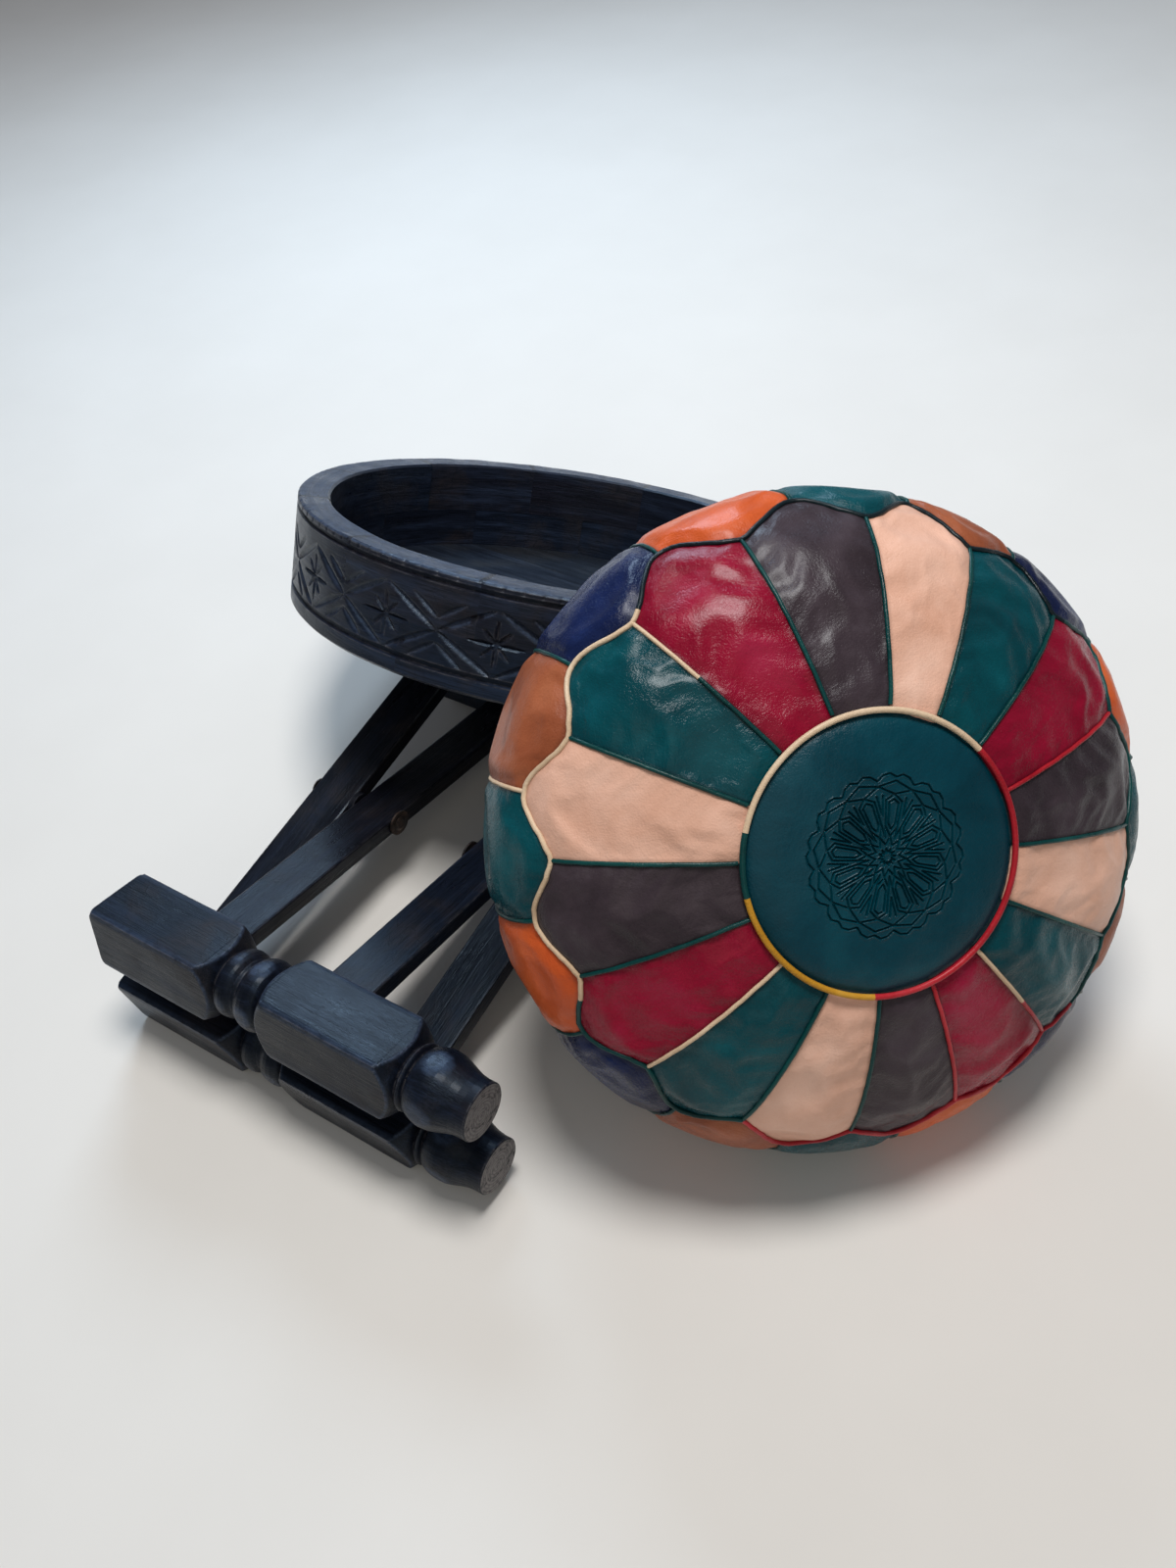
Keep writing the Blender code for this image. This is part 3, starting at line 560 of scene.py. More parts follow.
def mesh_piece(name, verts, faces, materials, body, smooth, face_materials=None):
    """A mesh object riding on a body, with outward faces, smooth but for edges that turn more than an angle."""
    obj = new_object(name, verts, faces)
    mesh = obj.data
    for material in materials:
        mesh.materials.append(material)
    if face_materials is not None:
        mesh.polygons.foreach_set("material_index", np.asarray(face_materials, np.int32))
    bm = bmesh.new()
    bm.from_mesh(mesh)
    bmesh.ops.recalc_face_normals(bm, faces=bm.faces)
    bm.to_mesh(mesh)
    bm.free()
    mesh.shade_smooth()
    mesh.set_sharp_from_angle(angle=smooth)
    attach(obj, body)
    return obj


def write_attribute(mesh, name, values, kind="FLOAT_VECTOR"):
    """Stores one vector or number per vertex for the shaders."""
    layer = mesh.attributes.new(name, kind, "POINT")
    key = "vector" if kind == "FLOAT_VECTOR" else "value"
    layer.data.foreach_set(key, np.ascontiguousarray(values, np.float32).ravel())


def ring_faces(rings, count):
    """Quads between successive rings of count points, wrapped round."""
    after = [(k + 1) % count for k in range(count)]
    return [(i * count + k, i * count + after[k], (i + 1) * count + after[k], (i + 1) * count + k)
            for i in range(rings - 1) for k in range(count)]


def loft(rings):
    """Vertices and faces of a closed solid through rings of equal count, capped at both ends."""
    count = len(rings[0])
    verts = np.concatenate(rings)
    faces = ring_faces(len(rings), count)
    caps = [tuple(range(count))[::-1], tuple(range((len(rings) - 1) * count, len(rings) * count))]
    return verts, faces + caps


def wobble(place, scale, seed):
    """Smooth repeatable unevenness between -1 and 1 at rows of places."""
    local = np.random.default_rng(seed)
    total = np.zeros(len(place))
    for wave in range(WAVES):
        direction = local.normal(size=3)
        direction *= scale * (0.6 + wave * 0.5) / np.linalg.norm(direction)
        total += np.sin(place @ direction + local.uniform(0, 2 * pi))
    return total / WAVES


def write_wood(mesh, grain, wear_and_sheen, tint):
    """Stores what the wood shader reads: grain places, how far edges are rubbed and where a bluish sheen is
    painted, and the piece's tint.
    """
    count = len(mesh.vertices)
    write_attribute(mesh, "grain", grain)
    write_attribute(mesh, "wear_and_sheen", np.zeros(count) + wear_and_sheen, "FLOAT")
    write_attribute(mesh, "tint", np.zeros(count) + tint, "FLOAT")


def write_leather(mesh, grain, panel, seam):
    """Stores what the leather shader reads: grain and panel places, and how much painted shade darkens a point by
    a seam or a disc's rim.
    """
    write_attribute(mesh, "grain", grain)
    write_attribute(mesh, "panel", panel)
    write_attribute(mesh, "seam", np.zeros(len(grain)) + seam, "FLOAT")


def dress_node(name, material, along, wear_and_sheen):
    """Gives a CAD node its material and a grain that runs along a direction."""
    obj = frame["nodes"][name]
    obj.data.materials.clear()
    obj.data.materials.append(material)
    points = node_points(name)
    along = np.array(along, float) / np.linalg.norm(along)
    side = np.cross(along, UNALIGNED)
    side /= np.linalg.norm(side)
    axes = np.array([along, side, np.cross(along, side)])
    shift = rng.uniform(-GRAIN_SPREAD, GRAIN_SPREAD, 3)
    write_wood(obj.data, points @ axes.T + shift, wear_and_sheen, rng.uniform())


# Stand

def leg_direction(name):
    """Long direction of a leg, from its own points."""
    points = node_points(name)
    spread = np.linalg.svd(points - points.mean(0), full_matrices=False)[2]
    return spread[0]


def dress_stand():
    for name in nodes_starting("outer_leg", "inner_leg"):
        dress_node(name, frame_wood, leg_direction(name), NODE_WEAR)
    for starts, material, along, wear_and_sheen in (
            (("outer_top_rail", "inner_top_rail", "tray_batten"), frame_wood, (1, 0, 0), NODE_WEAR),
            (("tray_floor_board",), floor_wood, (1, 0, 0), BOARD_WEAR),
            (("pivot_spacer",), frame_wood, (0, 1, 0), NODE_WEAR),
            (("pivot_pin", "pivot_washer"), iron, (1, 0, 0), NODE_WEAR)):
        for name in nodes_starting(*starts):
            dress_node(name, material, along, wear_and_sheen)


def groove_depth(away):
    """Depth of a turned groove at distances from its middle."""
    return GROOVE_DEPTH * np.exp(-(away / GROOVE_WIDTH) ** 2)


def foot_bar(prefix):
    """Foot bar with a finer turning than the solid's, read off the solid's own points."""
    name = prefix + "_foot_bar"
    points = node_points(name)
    along = leg_direction(prefix + "_leg_left")
    along *= np.sign(along[1])
    normal = np.cross((1, 0, 0), along)
    turned = Turned((0, 0, 0), (1, 0, 0), along, normal)
    local = turned.to_local(points)
    end = local[local[:, 0] > local[:, 0].max() - SAME]
    turned.origin = turned.to_world([0, *((end.min(0) + end.max(0)) / 2)[1:]])
    local = turned.to_local(points)
    half = np.abs(local[:, 1]).max()
    reach = np.hypot(local[:, 1], local[:, 2])
    stations = np.unique(np.round(local[:, 0], 5))
    profile = []
    for x in stations:
        here = np.abs(local[:, 0] - x) < 2 * SAME
        if here.sum() > FULL_SECTION:
            profile.append((x, reach[here].max()))
    profile = np.array(profile)
    xs = np.unique(np.concatenate([profile[:, 0], np.arange(profile[0, 0], profile[-1, 0], FOOT_STEP)]))
    radii = plain = np.interp(xs, profile[:, 0], profile[:, 1])
    for before, (x, radius), after in zip(profile, profile[1:], profile[2:]):
        if radius <= min(before[1], after[1]):
            radii = np.minimum(radii, plain - groove_depth(xs - x))
    angles = 2 * pi * np.arange(FOOT_SIDES) / FOOT_SIDES
    flat = half / np.maximum(np.abs(np.cos(angles)), np.abs(np.sin(angles)))
    from_corner = (np.abs(np.cos(angles)) - np.abs(np.sin(angles))) * half
    rings, rubbed = [], []
    for x, radius in zip(xs, radii):
        rho = 1 / ((half / radius) ** CRISP + (half / flat) ** CRISP) ** (1 / CRISP) * half
        ring = np.stack([np.full(FOOT_SIDES, x), rho * np.cos(angles), rho * np.sin(angles)], 1)
        scale = 1 - HAND_WOBBLE * (1 + wobble(ring, *FOOT_UNEVEN)) / radius
        ring[:, 1:] *= scale[:, None]
        rings.append(ring)
        off_edge = np.minimum(np.abs(flat - radius), np.where(flat < radius, np.abs(from_corner), half))
        rubbed.append(np.exp(-(off_edge / EDGE_WEAR) ** 2))
    verts, faces = loft(rings)
    slots = [0] * (len(faces) - 2) + [1, 1]
    obj = mesh_piece(name + "_turned", turned.to_world(verts), faces, [frame_wood, end_wood],
                     prefix + "_frame", FOOT_SMOOTH, slots)
    grain = verts + rng.uniform(-FOOT_SHIFT, FOOT_SHIFT, 3)
    write_wood(obj.data, grain, FOOT_WEAR + np.concatenate(rubbed), FOOT_TINT)
    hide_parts(name)


# Tray wall

def lens(along, off, length, half_width, depth):
    """Depth of a V cut pointed at both ends: along it, off its middle line."""
    share = np.clip(along / length, 0, 1)
    width = half_width * np.sqrt(np.clip(4 * share * (1 - share), 1e-9, 1))
    inside = (along > 0) & (along < length)
    return np.where(inside, depth * (width / half_width) * np.clip(1 - np.abs(off) / width, 0, 1), 0)


def stroke(u, v, start, end, half_width, depth):
    """Depth at (u, v) of one cut from start to end."""
    run = np.subtract(end, start)
    length = np.hypot(*run)
    run = run / length
    along = (u - start[0]) * run[0] + (v - start[1]) * run[1]
    off = -(u - start[0]) * run[1] + (v - start[1]) * run[0]
    return lens(along, off, length, half_width, depth)


def carving(angle, height):
    """Depth of the carving, which is lattice, chevrons and eight-rayed stars, and without its stars."""
    pitch = 2 * pi * TRAY_RADIUS / STARS
    turn = (angle - STAR_BEARING) / (2 * pi) * STARS
    u = np.abs(turn - np.round(turn)) * pitch
    v = np.abs(height - BAND_MIDDLE)
    half = pitch / 2
    lattice = np.zeros_like(u)
    for ends, half_width, deep in ((LATTICE, CUT_HALF_WIDTH, CUT_DEPTH),
                                   (CHEVRON, CHEVRON_HALF_WIDTH, CHEVRON_DEPTH)):
        start, end = [(a * half, b * BAND_HALF) for a, b in ends]
        lattice = np.maximum(lattice, stroke(u, v, start, end, half_width, deep))
    depth = lattice
    for bearing, length in RAYS:
        tip = (length * cos(radians(bearing)), length * sin(radians(bearing)))
        tail = (-RAY_TAIL * tip[0], -RAY_TAIL * tip[1])
        depth = np.maximum(depth, stroke(u, v, tail, tip, RAY_HALF_WIDTH, RAY_DEPTH))
    return depth, lattice


def refined(section):
    """Adds points along the outer face so that the cuts can be carved in it."""
    points = []
    for (r0, z0), (r1, z1) in zip(section, section[1:] + section[:1]):
        on_face = min(r0, r1) > TRAY_RADIUS - REFINED_SKIN
        step = BAND_STEP if on_face else PLAIN_STEP
        count = max(1, int(np.ceil(np.hypot(r1 - r0, z1 - z0) / step)))
        points += [(r0 + (r1 - r0) * k / count, z0 + (z1 - z0) * k / count) for k in range(count)]
    return np.array(points)


def block_section(name):
    """Section of a CAD block at its first end as (radius, height), the end's bearing and the block's span."""
    local = TRAY.to_local(node_points(name))
    bearing = np.arctan2(local[:, 1], local[:, 0])
    widest = np.sort(bearing % (2 * pi))
    gaps = np.diff(np.append(widest, widest[0] + 2 * pi))
    start = widest[(gaps.argmax() + 1) % len(widest)]
    span = 2 * pi - gaps.max()
    here = local[np.abs((bearing - start + pi) % (2 * pi) - pi) < SAME_BEARING]
    points = np.stack([np.hypot(here[:, 0], here[:, 1]), here[:, 2]], 1)
    return np.unique(np.round(points, 6), axis=0), start, span


def in_order(points):
    """Orders a block's section: up the outer face from the bottom, then back down the inside."""
    split = (TRAY_INNER + TRAY_RADIUS) / 2
    outer = sorted((tuple(p) for p in points if p[0] > split), key=lambda p: (round(p[1], 4), -p[0]))
    inner = sorted((tuple(p) for p in points if p[0] <= split), key=lambda p: -p[1])
    top = max(p[1] for p in outer)
    rim = [p for p in outer if p[1] > top - SAME]
    side = [p for p in outer if p[1] <= top - SAME]
    bottom = min(p[1] for p in side)
    base = sorted((p for p in side if p[1] < bottom + SAME), key=lambda p: p[0])
    wall = [p for p in side if p[1] >= bottom + SAME]
    return base + wall + sorted(rim, key=lambda p: -p[0]) + inner


def carved_block(name):
    """One curved block of the tray's wall with its share of the carving."""
    points, start, span = block_section(name)
    section = refined(in_order(points))
    play = 2 * pi / BLOCKS - span
    start, span = start - CLOSING / 2 * play, span + CLOSING * play
    if "upper" in name:
        section[:, 1] -= np.where(section[:, 1] < COURSE_HEIGHT + SAME, JOINT_PLAY, 0)
    steps = int(np.ceil(span * TRAY_RADIUS / ARC_STEP))
    seed = int(name[-2:]) + (UPPER_SEED if "upper" in name else 0)
    lean = np.random.default_rng(seed).uniform(-1, 1, 3)
    rings, painted_sheen_flanks = [], []
    for k in range(steps + 1):
        angle = start + span * k / steps
        r, z = section[:, 0].copy(), section[:, 1].copy()
        place = np.stack([r * cos(angle), r * sin(angle), z], 1)
        outer = r > TRAY_RADIUS - CARVED_SKIN
        depth, lattice = carving(np.full_like(z, angle), z)
        r -= np.where(outer, depth, 0)
        painted_sheen_flanks.append(np.where(outer, lattice / CUT_DEPTH, 0))
        chip = angle * TRAY_RADIUS / CHIP_PITCH + CHIP_DRIFT * sin(angle * CHIP_WAVES)
        tooth = max(0.0, 1 - abs(chip - round(chip)) * CHIP_SHARPNESS)
        on_rim = outer & (z > TRAY_HEIGHT - CHIP_HEIGHT)
        r -= np.where(on_rim, CHIP_DEPTH * tooth, 0)
        uneven = wobble(place, *WALL_UNEVEN)
        r -= np.where(outer, HAND_WOBBLE * (1 + uneven), 0)
        facet = (angle - start - span / 2) * lean[0] * FACET_TURN + lean[1] * FACET_SHIFT
        clear = np.clip((z - FLOOR_TOP) / FACET_RISE, 0, 1)
        hollow = clear * np.clip(facet + FACET_BASE + HAND_WOBBLE * uneven, 0, FACET_LIMIT)
        r += np.where(r < TRAY_INNER + INNER_SKIN, hollow - FLOOR_PLAY * (clear == 0), 0)
        z = np.where(z > TRAY_HEIGHT - TOP_FACE, z - HAND_WOBBLE * (1 + wobble(place, *RIM_UNEVEN)), z)
        rings.append(np.stack([r * cos(angle), r * sin(angle), z], 1))
    verts, faces = loft(rings)
    obj = mesh_piece(name.replace("block", "carved"), TRAY.to_world(verts), faces, [carved_wood], "tray",
                     BLOCK_SMOOTH)
    bearing = np.repeat(start + span * np.arange(steps + 1) / steps, len(section))
    reach = np.hypot(verts[:, 0], verts[:, 1])
    grain = np.stack([bearing * TRAY_RADIUS, reach, verts[:, 2]], 1)
    inset = np.minimum(bearing - start, start + span - bearing) * TRAY_RADIUS
    shown = (inset > WEAR_INSET) & (reach > (TRAY_INNER + TRAY_RADIUS) / 2)
    shown &= np.abs(verts[:, 2] - COURSE_HEIGHT) > COURSE_INSET
    # Deep parts of the lattice cuts and the rim's top get a painted sky sheen as well as rubbed edges
    wear_and_sheen = np.where(shown, WALL_WEAR, 0.0) + CUT_WEAR_AND_SHEEN * np.concatenate(painted_sheen_flanks)
    wear_and_sheen[(verts[:, 2] > TRAY_HEIGHT - RIM_SKIN) & (inset > RIM_INSET)] = RIM_WEAR_AND_SHEEN
    write_wood(obj.data, grain + lean * 2, wear_and_sheen, 0.5 + 0.5 * lean[2])
    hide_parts(name)


# Pouf

def slope_at(radius):
    """Slope angle from the pouf's front at which its outline reaches a radius."""
    return np.arcsin((radius / POUF_RADIUS) ** (POUF_SQUARENESS / 2))


def outline(slope):
    """Radius and height of the stuffed outline at slopes from the front."""
    power = 2 / POUF_SQUARENESS
    radius = POUF_RADIUS * np.sin(slope) ** power
    height = POUF_HALF_HEIGHT * np.abs(np.cos(slope)) ** power * np.sign(np.cos(slope))
    return radius, height


def near_top(angle, spread):
    """Falls from 1 at the top of the pouf's front towards 0 away from it."""
    off = (angle - TOP_BEARING + pi) % (2 * pi) - pi
    return np.exp(-(off / spread) ** 2)


def scallop_slope(angle):
    """Slope of the scalloped seam: a wave with its cusps at the panels' seams, further out at the top."""
    wave = (1 - np.cos(angle * PANELS)) / 2
    swing = 1 + PEAK_SWING * np.sin(SWING_STEP * np.floor(angle * PANELS / (2 * pi)) + SWING_START)
    reach = CUSP_RADIUS + (PEAK_RADIUS - CUSP_RADIUS) * wave * swing + TOP_REACH * near_top(angle, TOP_SPREAD)
    return slope_at(np.minimum(reach, OUTER_LIMIT * POUF_RADIUS))


def sway(angle):
    """Hand-sewn seams' turn from even spacing: they crowd together at the top."""
    return SWAY_BASE - SWAY_DEPTH * near_top(angle, SWAY_SPREAD)


class Cover:
    """Grid of the pouf's cover: columns round it, rows from the front disc over the side to the back disc."""

    def __init__(self):
        self.columns = PANELS * COLUMNS_PER_PANEL
        self.angles = 2 * pi * np.arange(self.columns) / self.columns
        self.placed = self.angles + sway(self.angles)
        self.first = slope_at(DISC_RADIUS)
        edge = scallop_slope(self.angles)
        front = [self.first + (edge - self.first) * k / END_ROWS for k in range(END_ROWS)]
        side = [edge + (pi - 2 * edge) * k / SIDE_ROWS for k in range(SIDE_ROWS)]
        back = [pi - edge + (edge - self.first) * k / END_ROWS for k in range(END_ROWS + 1)]
        self.slopes = np.array(front + side + back)
        self.rows = len(self.slopes)
        self.front_edge = END_ROWS
        self.back_edge = END_ROWS + SIDE_ROWS

    def seam_gaps(self):
        """Per vertex: shares across and along its panel, then distances to its seam, scallop and disc."""
        on_side = self.on_side()
        row = np.arange(self.rows)[:, None] + np.zeros(self.columns)
        turn = self.angles * PANELS / (2 * pi) + on_side / 2
        u = 2 * (turn - np.floor(turn)) - 1
        end = np.where(row <= self.front_edge, row / END_ROWS, 1 - (row - self.back_edge) / END_ROWS)
        v = np.where(on_side, (row - self.front_edge) / SIDE_ROWS, end)
        seam = (1 - np.abs(u)) * outline(self.slopes)[0] * pi / PANELS
        scallop = np.minimum(np.abs(row - self.front_edge), np.abs(row - self.back_edge)) * ROW_STEP
        disc = np.minimum(row, self.rows - 1 - row) * ROW_STEP
        return u, v, seam, scallop, disc

    def on_side(self):
        """Column that says which rows lie on the side."""
        rows = np.arange(self.rows)[:, None]
        return (rows > self.front_edge) & (rows < self.back_edge)

    def start_points(self, seam, scallop, disc):
        """Drawn-in start shape: panels about the stuffed outline, seams sunk, puckers along the seams."""
        radius, height = outline(self.slopes)
        base = np.stack([radius * np.cos(self.placed), radius * np.sin(self.placed), height], -1)
        full = np.where(self.on_side(), SIDE_SINK, PANEL_SINK)
        sewn = np.where(self.on_side(), SIDE_SEAM_SINK, SEAM_SINK)
        dips = [full + (depth - full) * np.exp(-(gap / SEAM_REACH) ** 2)
                for depth, gap in ((sewn, seam), (SCALLOP_SINK, scallop), (DISC_SINK, disc))]
        sink = np.max(dips, axis=0)
        folds = wobble(base.reshape(-1, 3), *LEATHER_FOLDS).reshape(sink.shape)
        sink += PUCKER * folds * np.exp(-(np.minimum(seam, scallop) / (2 * SEAM_REACH)) ** 2)
        slack = (1 - np.cos(self.angles - LEAN_BEARING)) / 2 * (radius / POUF_RADIUS) ** 2
        pull = 1 - (sink + LEAN_SINK * slack) / np.linalg.norm(base, axis=-1)
        return base * pull[..., None]

    def faces(self):
        """Quads with their colours: end panels, side panels half a panel on, end panels again."""
        quads = ring_faces(self.rows, self.columns)
        share = (np.arange(self.columns) + 0.5) / COLUMNS_PER_PANEL
        end = [END_COLOURS[int(s) % len(END_COLOURS)] for s in share]
        side = [SIDE_COLOURS[int(s + 0.5) % len(SIDE_COLOURS)] for s in share]
        colours = []
        for i in range(self.rows - 1):
            colours += side if self.front_edge <= i < self.back_edge else end
        return quads, colours


def swell(verts, faces, pinned, limit):
    """Leather blown out between its pinned seams by a cloth simulation, each point up to its limit."""
    obj = new_object("swell", verts, faces)
    group = obj.vertex_groups.new(name="seams")
    group.add([int(i) for i in np.flatnonzero(pinned)], 1.0, "REPLACE")
    cloth = obj.modifiers.new("leather", "CLOTH")
    for key, value in SWELL.items():
        setattr(cloth.settings, key, value)
    cloth.settings.effector_weights.gravity = 0
    cloth.collision_settings.use_collision = False
    cloth.point_cache.frame_start = 1
    cloth.point_cache.frame_end = SWELL_FRAMES
    scene = bpy.context.scene
    for step in range(1, SWELL_FRAMES + 1):
        scene.frame_set(step)
    moved = obj.evaluated_get(bpy.context.evaluated_depsgraph_get()).data
    result = np.empty(len(verts) * 3, np.float32)
    moved.vertices.foreach_get("co", result)
    scene.frame_set(1)
    bpy.data.objects.remove(obj)
    shift = result.reshape(-1, 3) - verts
    share = np.maximum(np.linalg.norm(shift, axis=1), 1e-9) / limit
    return verts + shift * (np.tanh(share) / share)[:, None]


def close_ring(ring, first, fresh):
    """Points and faces that close a ring, with half as many points in each ring further in."""
    centre = ring.mean(0)
    added, faces = [], []
    while len(ring) % 2 == 0:
        count, half = len(ring), len(ring) // 2
        for k in range(half):
            a, b, c = first + 2 * k, first + 2 * k + 1, first + (2 * k + 2) % count
            p, q = fresh + k, fresh + (k + 1) % half
            faces += [(a, b, p), (b, q, p), (b, c, q)]
        ring = centre + (ring[::2] - centre) * CAP_SHRINK
        added.append(ring)
        first, fresh = fresh, fresh + half
    faces.append(tuple(range(first, first + len(ring))))
    return np.concatenate(added), faces


def settle(local):
    """Presses points off the ground and out of the tray's wall."""
    world = POUF.to_world(local)
    world[:, 2] = np.maximum(world[:, 2], cad_low.z + GROUND_GAP)
    for step in range(PRESS_TRIES):
        tray = TRAY.to_local(world)
        inside = np.hypot(tray[:, 0], tray[:, 1]) < TRAY_RADIUS + TRAY_GAP
        inside &= (tray[:, 2] < TRAY_HEIGHT + TRAY_GAP) & (tray[:, 2] > 0)
        if not inside.any():
            break
        world[inside] += POUF.axes[2] * PRESS_STEP
    return world


def tube(points, normals, radius):
    """Cord along points, partly sunk in the surface below it."""
    points = points + normals * radius * CORD_RISE
    tangents = np.roll(points, -1, 0) - np.roll(points, 1, 0)
    tangents[0] = points[1] - points[0]
    tangents[-1] = points[-1] - points[-2]
    tangents /= np.linalg.norm(tangents, axis=1, keepdims=True)
    across = np.cross(tangents, normals)
    across /= np.linalg.norm(across, axis=1, keepdims=True)
    up = np.cross(across, tangents)
    turns = 2 * pi * np.arange(CORD_SIDES) / CORD_SIDES
    verts = points[:, None] + radius * (np.cos(turns)[None, :, None] * across[:, None]
                                        + np.sin(turns)[None, :, None] * up[:, None])
    return loft(verts)


class Cords:
    """Collects cords by colour and makes one piece of each colour."""

    def __init__(self):
        self.parts = {}

    def add(self, colour, verts, faces):
        verts[:, 2] = np.maximum(verts[:, 2], cad_low.z)
        held_verts, held_faces = self.parts.setdefault(colour, ([], []))
        first = sum(len(v) for v in held_verts)
        held_faces.extend(tuple(i + first for i in f) for f in faces)
        held_verts.append(verts)

    def make(self, label):
        for colour, (verts, faces) in self.parts.items():
            points = np.concatenate(verts)
            obj = mesh_piece(f"{label}_{colour}", points, faces, [CORD[colour]], "pouf",
                             CORD_SMOOTH)
            local = POUF.to_local(points)
            write_leather(obj.data, local, local * CREASE_SCALE, 0)


def colour_at(degrees, bands):
    """Colour of the first band that ends past a bearing."""
    return next(colour for end, colour in bands if degrees < end)


def runs(colours):
    """Stretches of one colour round a closed line as (colour, indices), each ending on the next's start."""
    count = len(colours)
    starts = [i for i in range(count) if colours[i] != colours[i - 1]] or [0]
    found = []
    for here, after in zip(starts, starts[1:] + [starts[0] + count]):
        found.append((colours[here], [i % count for i in range(here, after + 1)]))
    return found


def pouf_cover(cover_grid):
    """The stuffed patchwork cover, and its points and normals for the cords."""
    u, v, seam, scallop, disc = cover_grid.seam_gaps()
    start = cover_grid.start_points(seam, scallop, disc).reshape(-1, 3)
    faces, colours = cover_grid.faces()
    gap = np.minimum(seam, scallop).reshape(-1)
    pinned = gap < PINNED_REACH
    pinned[:cover_grid.columns] = True
    pinned[-cover_grid.columns:] = True
    limit = (np.where(cover_grid.on_side(), SIDE_SWELL, END_SWELL) + np.zeros_like(u)).reshape(-1)
    local = swell(start, faces, pinned, limit)
    world = settle(local)
    names = list(LEATHER)[:-1]
    points, caps = world, []
    for row in (0, cover_grid.rows - 1):
        first = row * cover_grid.columns
        added, closing = close_ring(world[first:first + cover_grid.columns], first, len(points))
        points = np.concatenate([points, added])
        caps += closing
    under = len(points) - len(world)
    slots = [names.index(c) for c in colours] + [0] * len(caps)
    obj = mesh_piece("pouf_leather", points, faces + caps, [LEATHER[c] for c in names], "pouf",
                     LEATHER_SMOOTH, slots)
    side = (np.floor(cover_grid.angles * PANELS / (2 * pi))[None, :] + np.zeros_like(u)).reshape(-1)
    panel = np.stack([u.reshape(-1), v.reshape(-1), side], 1)
    # Painted shade along the seams: the first value darkens the seam line, hem a wider fainter band that also
    # carries the puckers
    near, hem = (np.append(np.exp(-(gap / reach) ** 2), np.zeros(under)) for reach in (SEAM_SHADE, HEM_SHADE))
    write_leather(obj.data, POUF.to_local(points), np.concatenate([panel, np.zeros((under, 3))]), near)
    write_attribute(obj.data, "hem", hem, "FLOAT")
    soften = obj.modifiers.new("soft", "SUBSURF")
    soften.levels = 1
    soften.render_levels = 1
    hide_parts("pouf_cover")
    normals = np.array([x.vector for x in obj.data.vertex_normals])[:len(world)]
    shape = (cover_grid.rows, cover_grid.columns, 3)
    return world.reshape(shape), normals.reshape(shape)


def pouf_cords(cover_grid, points, normals):
    """Cords in the panel seams, along both scalloped seams and across the side."""
    cords = Cords()
    first, last = cover_grid.front_edge, cover_grid.back_edge
    for seam in range(PANELS):
        k = seam * COLUMNS_PER_PANEL
        inner, outer = SEAM_COLOURS.get(seam, ("green", "green"))
        half = first // 2
        stretches = [(inner, range(1, first + 1))]
        if inner != outer:
            stretches = [(inner, range(1, half + 1)), (outer, range(half, first + 1))]
        stretches.append(("green", range(last, cover_grid.rows - 1)))
        for colour, rows in stretches:
            cords.add(colour, *tube(points[list(rows), k], normals[list(rows), k], SEAM_CORD))
        k = (seam * COLUMNS_PER_PANEL + COLUMNS_PER_PANEL // 2) % cover_grid.columns
        rows = list(range(first, last + 1))
        colour = "cream" if seam == CREAM_SIDE_SEAM else "green"
        cords.add(colour, *tube(points[rows, k], normals[rows, k], SEAM_CORD))
    bearings = np.degrees(cover_grid.angles)
    for row in (first, last):
        for colour, ks in runs([colour_at(b, SCALLOP_COLOURS) for b in bearings]):
            cords.add(colour, *tube(points[row, ks], normals[row, ks], SCALLOP_CORD))
    cords.make("pouf_piping")


ROSETTE = (
    ((2.6, 0), (4.8, 15)),
    ((11.4, 0), (6.8, 15)),
    ((11.4, 0), (17.0, 11.6), (31.0, 8.8), (34.4, 0)),
    ((15.0, 0), (18.4, 6.2), (29.8, 5.2), (31.6, 0)),
    ((17.0, 11.6), (10.6, 15)),
    ((22.4, 15), (33.6, 11.8)),
    ((34.4, 0), (38.6, 15)),
    ((41.6, 0), (38.6, 15)),
    ((43.6, 0), (45.4, 5), (44.4, 10), (41.4, 15)),
)  # lines of one mirrored half twelfth: (millimetres from the middle, degrees)
PRESSED_DEPTH = 0.0014
PRESSED_HALF_WIDTH = 0.55  # millimetres
PRESSED_FLAT = 1.15  # over 1, so that a pressed line has a flat bottom
PRESSED_LIP = 0.3  # raised edge beside a pressed line, against its depth
LIP_PLACE = 1.6  # of that edge from the line's middle, in half widths
LIP_WIDTH = 0.5
FOLD = 30  # degrees of one of the twelve parts


def rosette(x, y):
    """Pressed depth of a twelve-fold star rosette of double lines, in metres."""
    radius = np.hypot(x, y) * 1000
    bearing = np.degrees(np.arctan2(y, x))
    folded = np.radians(np.abs((bearing + FOLD / 2) % FOLD - FOLD / 2))
    px, py = radius * np.cos(folded), radius * np.sin(folded)
    nearest = np.full(len(px), 1e3)
    for line in ROSETTE:
        corners = [(r * cos(radians(a)), r * sin(radians(a))) for r, a in line]
        for (ax, ay), (bx, by) in zip(corners, corners[1:]):
            dx, dy = bx - ax, by - ay
            t = np.clip(((px - ax) * dx + (py - ay) * dy) / (dx * dx + dy * dy), 0, 1)
            nearest = np.minimum(nearest, np.hypot(px - ax - t * dx, py - ay - t * dy))
    off = nearest / PRESSED_HALF_WIDTH
    lip = PRESSED_LIP * np.exp(-((off - LIP_PLACE) / LIP_WIDTH) ** 2)
    return PRESSED_DEPTH * (np.clip(PRESSED_FLAT - off, 0, 1) - lip)


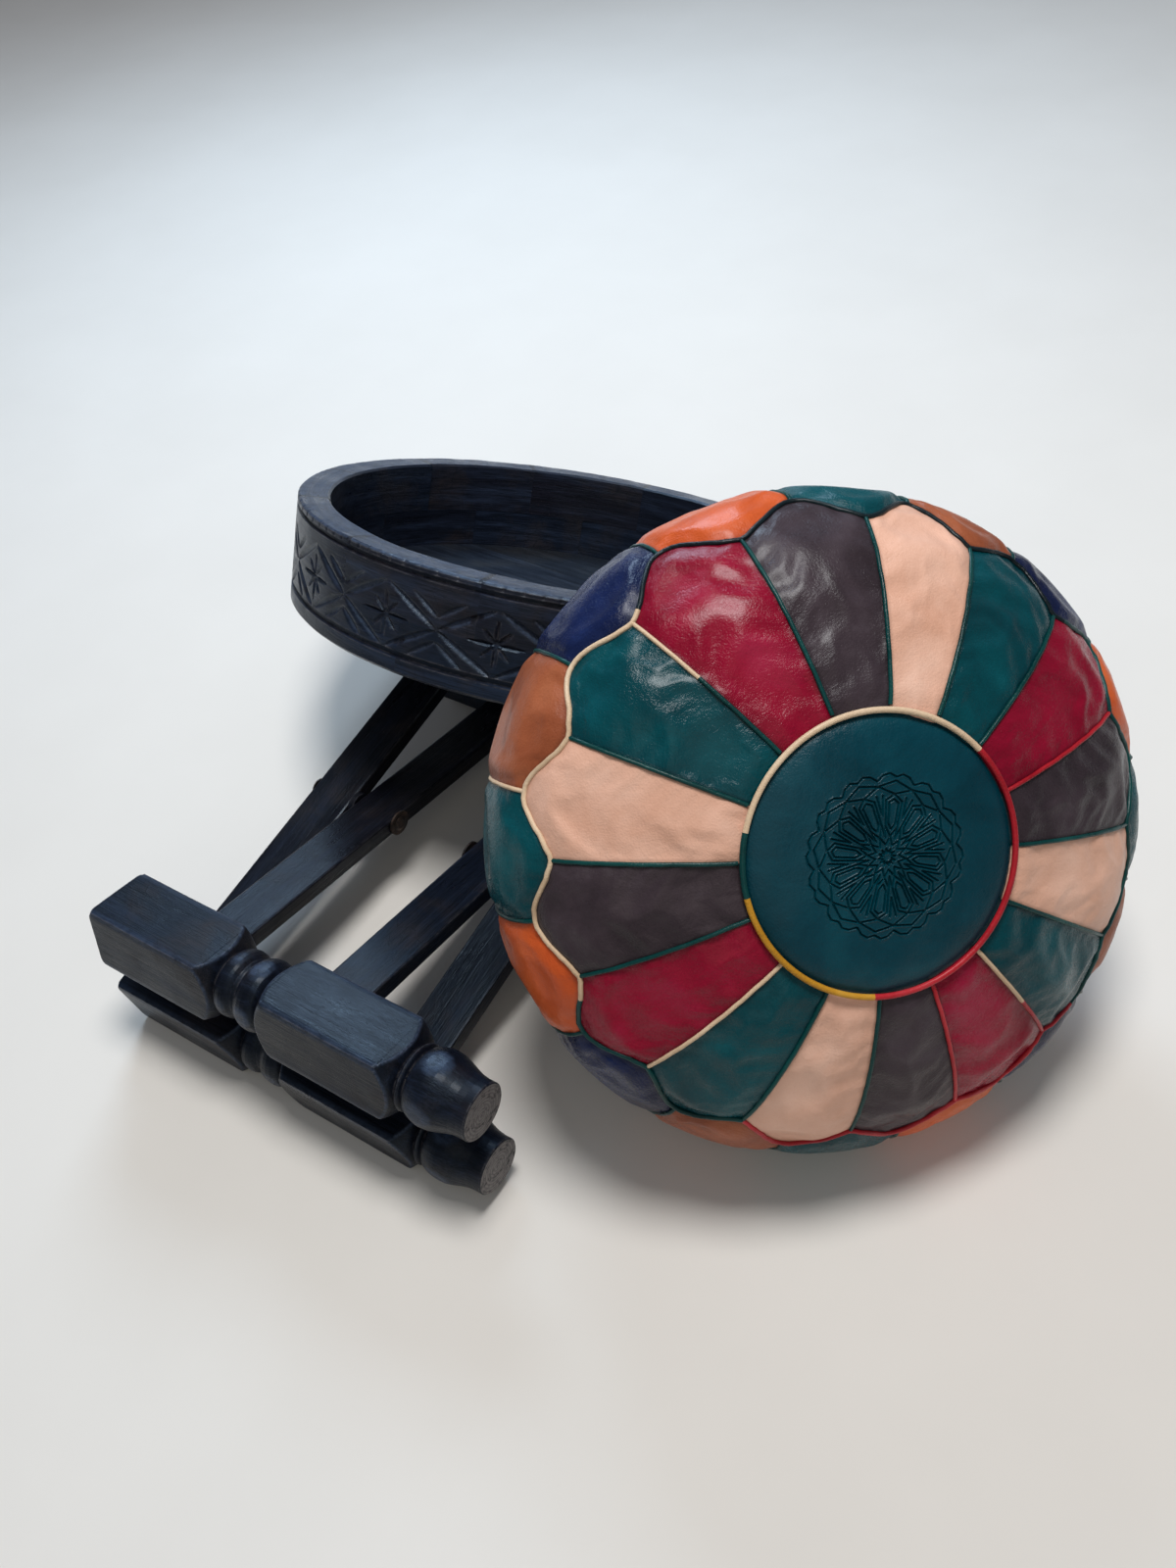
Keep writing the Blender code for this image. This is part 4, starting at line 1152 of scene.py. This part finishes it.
def end_disc(sign, embossed):
    """Round leather patch at one end of the pouf, with its cord."""
    columns, rings = EMBOSSED_GRID if embossed else PLAIN_GRID
    angles = 2 * pi * np.arange(columns) / columns
    edge = DISC_RADIUS + DISC_OVERLAP
    pressed = PRESSED_RADIUS / edge
    inner = np.linspace(DISC_START, pressed, rings, endpoint=False)
    shares = np.concatenate([inner, np.linspace(pressed, 1.0, OUTER_RINGS)])
    local = []
    for share in shares:
        r = edge * share
        height = outline(slope_at(r))[1] + DISC_RISE - DISC_ROLL * share ** ROLL_POWER
        x, y = r * np.cos(angles), r * np.sin(angles)
        z = np.full(columns, height)
        if embossed:
            z -= rosette(x, y)
        z -= DISC_WOBBLE * (1 + wobble(np.stack([x, y, z], 1), *DISC_UNEVEN)) * share
        local.append(np.stack([x, y, sign * z], 1))
    local = np.concatenate(local)
    faces = ring_faces(len(shares), columns) + [tuple(range(columns))]
    tag = "front" if sign > 0 else "back"
    world = settle(local)
    obj = mesh_piece(f"pouf_{tag}_disc", world, faces, [LEATHER["disc"]], "pouf",
                     LEATHER_SMOOTH)
    # Painted shade darkens the disc's rolled-down rim beside its cord
    rim = np.clip((np.hypot(local[:, 0], local[:, 1]) / edge - SHADE_START) / SHADE_SPAN, 0, 1)
    write_leather(obj.data, local, local * CREASE_SCALE, rim * PAINTED_RIM_SHADE)
    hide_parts(f"pouf_{tag}_patch")
    cords = Cords()
    radius = edge + DISC_CORD * CORD_OFFSET
    height = outline(slope_at(radius))[1]
    ring = np.stack([radius * np.cos(angles), radius * np.sin(angles), np.full(columns, sign * height)], 1)
    ups = np.tile(POUF.axes[2] * sign, (columns, 1))
    ring = settle(ring)
    colours = ["green"] * columns
    if sign > 0:
        colours = [colour_at(d, DISC_COLOURS) for d in np.degrees(angles)]
    for colour, ks in runs(colours):
        cords.add(colour, *tube(ring[ks], ups[ks], DISC_CORD))
    cords.make(f"pouf_{tag}_cord")


def dress_pouf():
    grid = Cover()
    points, normals = pouf_cover(grid)
    pouf_cords(grid, points, normals)
    end_disc(1, embossed=True)
    end_disc(-1, embossed=False)
    for tag in ("front", "back"):
        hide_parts(f"pouf_{tag}_welt")


# Stage

def add_floor():
    ground = new_object("ground", FLOOR_CORNERS, [(0, 1, 2, 3)])
    ground.data.materials.append(pale_floor())


def add_light(name, place, aim, size, power, colour):
    lamp = bpy.data.lights.new(name, "AREA")
    lamp.shape = "DISK"
    lamp.size = size
    lamp.energy = power
    lamp.color = colour
    obj = bpy.data.objects.new(name, lamp)
    obj.location = place
    obj.rotation_mode = "QUATERNION"
    obj.rotation_quaternion = (Vector(aim) - Vector(place)).to_track_quat("-Z", "Y")
    bpy.context.scene.collection.objects.link(obj)


def add_lights():
    world = bpy.data.worlds.new("studio")
    bpy.context.scene.world = world
    world.use_nodes = True
    background = world.node_tree.nodes["Background"]
    background.inputs["Color"].default_value = (0.78, 0.86, 1.0, 1.0)
    background.inputs["Strength"].default_value = 0.22
    for lamp in LIGHTS:
        add_light(*lamp)


def add_camera():
    lens_mm = FOCAL_PX / PHOTO_HEIGHT_PX * SENSOR_MM
    data = bpy.data.cameras.new("photo_view")
    data.lens = lens_mm
    data.sensor_width = SENSOR_MM
    data.clip_start = 0.02
    data.clip_end = 50
    camera = bpy.data.objects.new("photo_view", data)
    forward = CAMERA_RIGHT.cross(CAMERA_DOWN)
    turn = Matrix((CAMERA_RIGHT, -CAMERA_DOWN, -forward)).transposed()
    camera.matrix_world = Matrix.Translation(CAMERA_PLACE) @ turn.to_4x4()
    bpy.context.scene.collection.objects.link(camera)
    bpy.context.scene.camera = camera


dress_stand()
for prefix in ("outer", "inner"):
    foot_bar(prefix)
for block in nodes_starting("tray_lower_block", "tray_upper_block"):
    carved_block(block)
dress_pouf()
add_floor()
add_lights()
add_camera()
bpy.context.scene.view_settings.view_transform = "Standard"
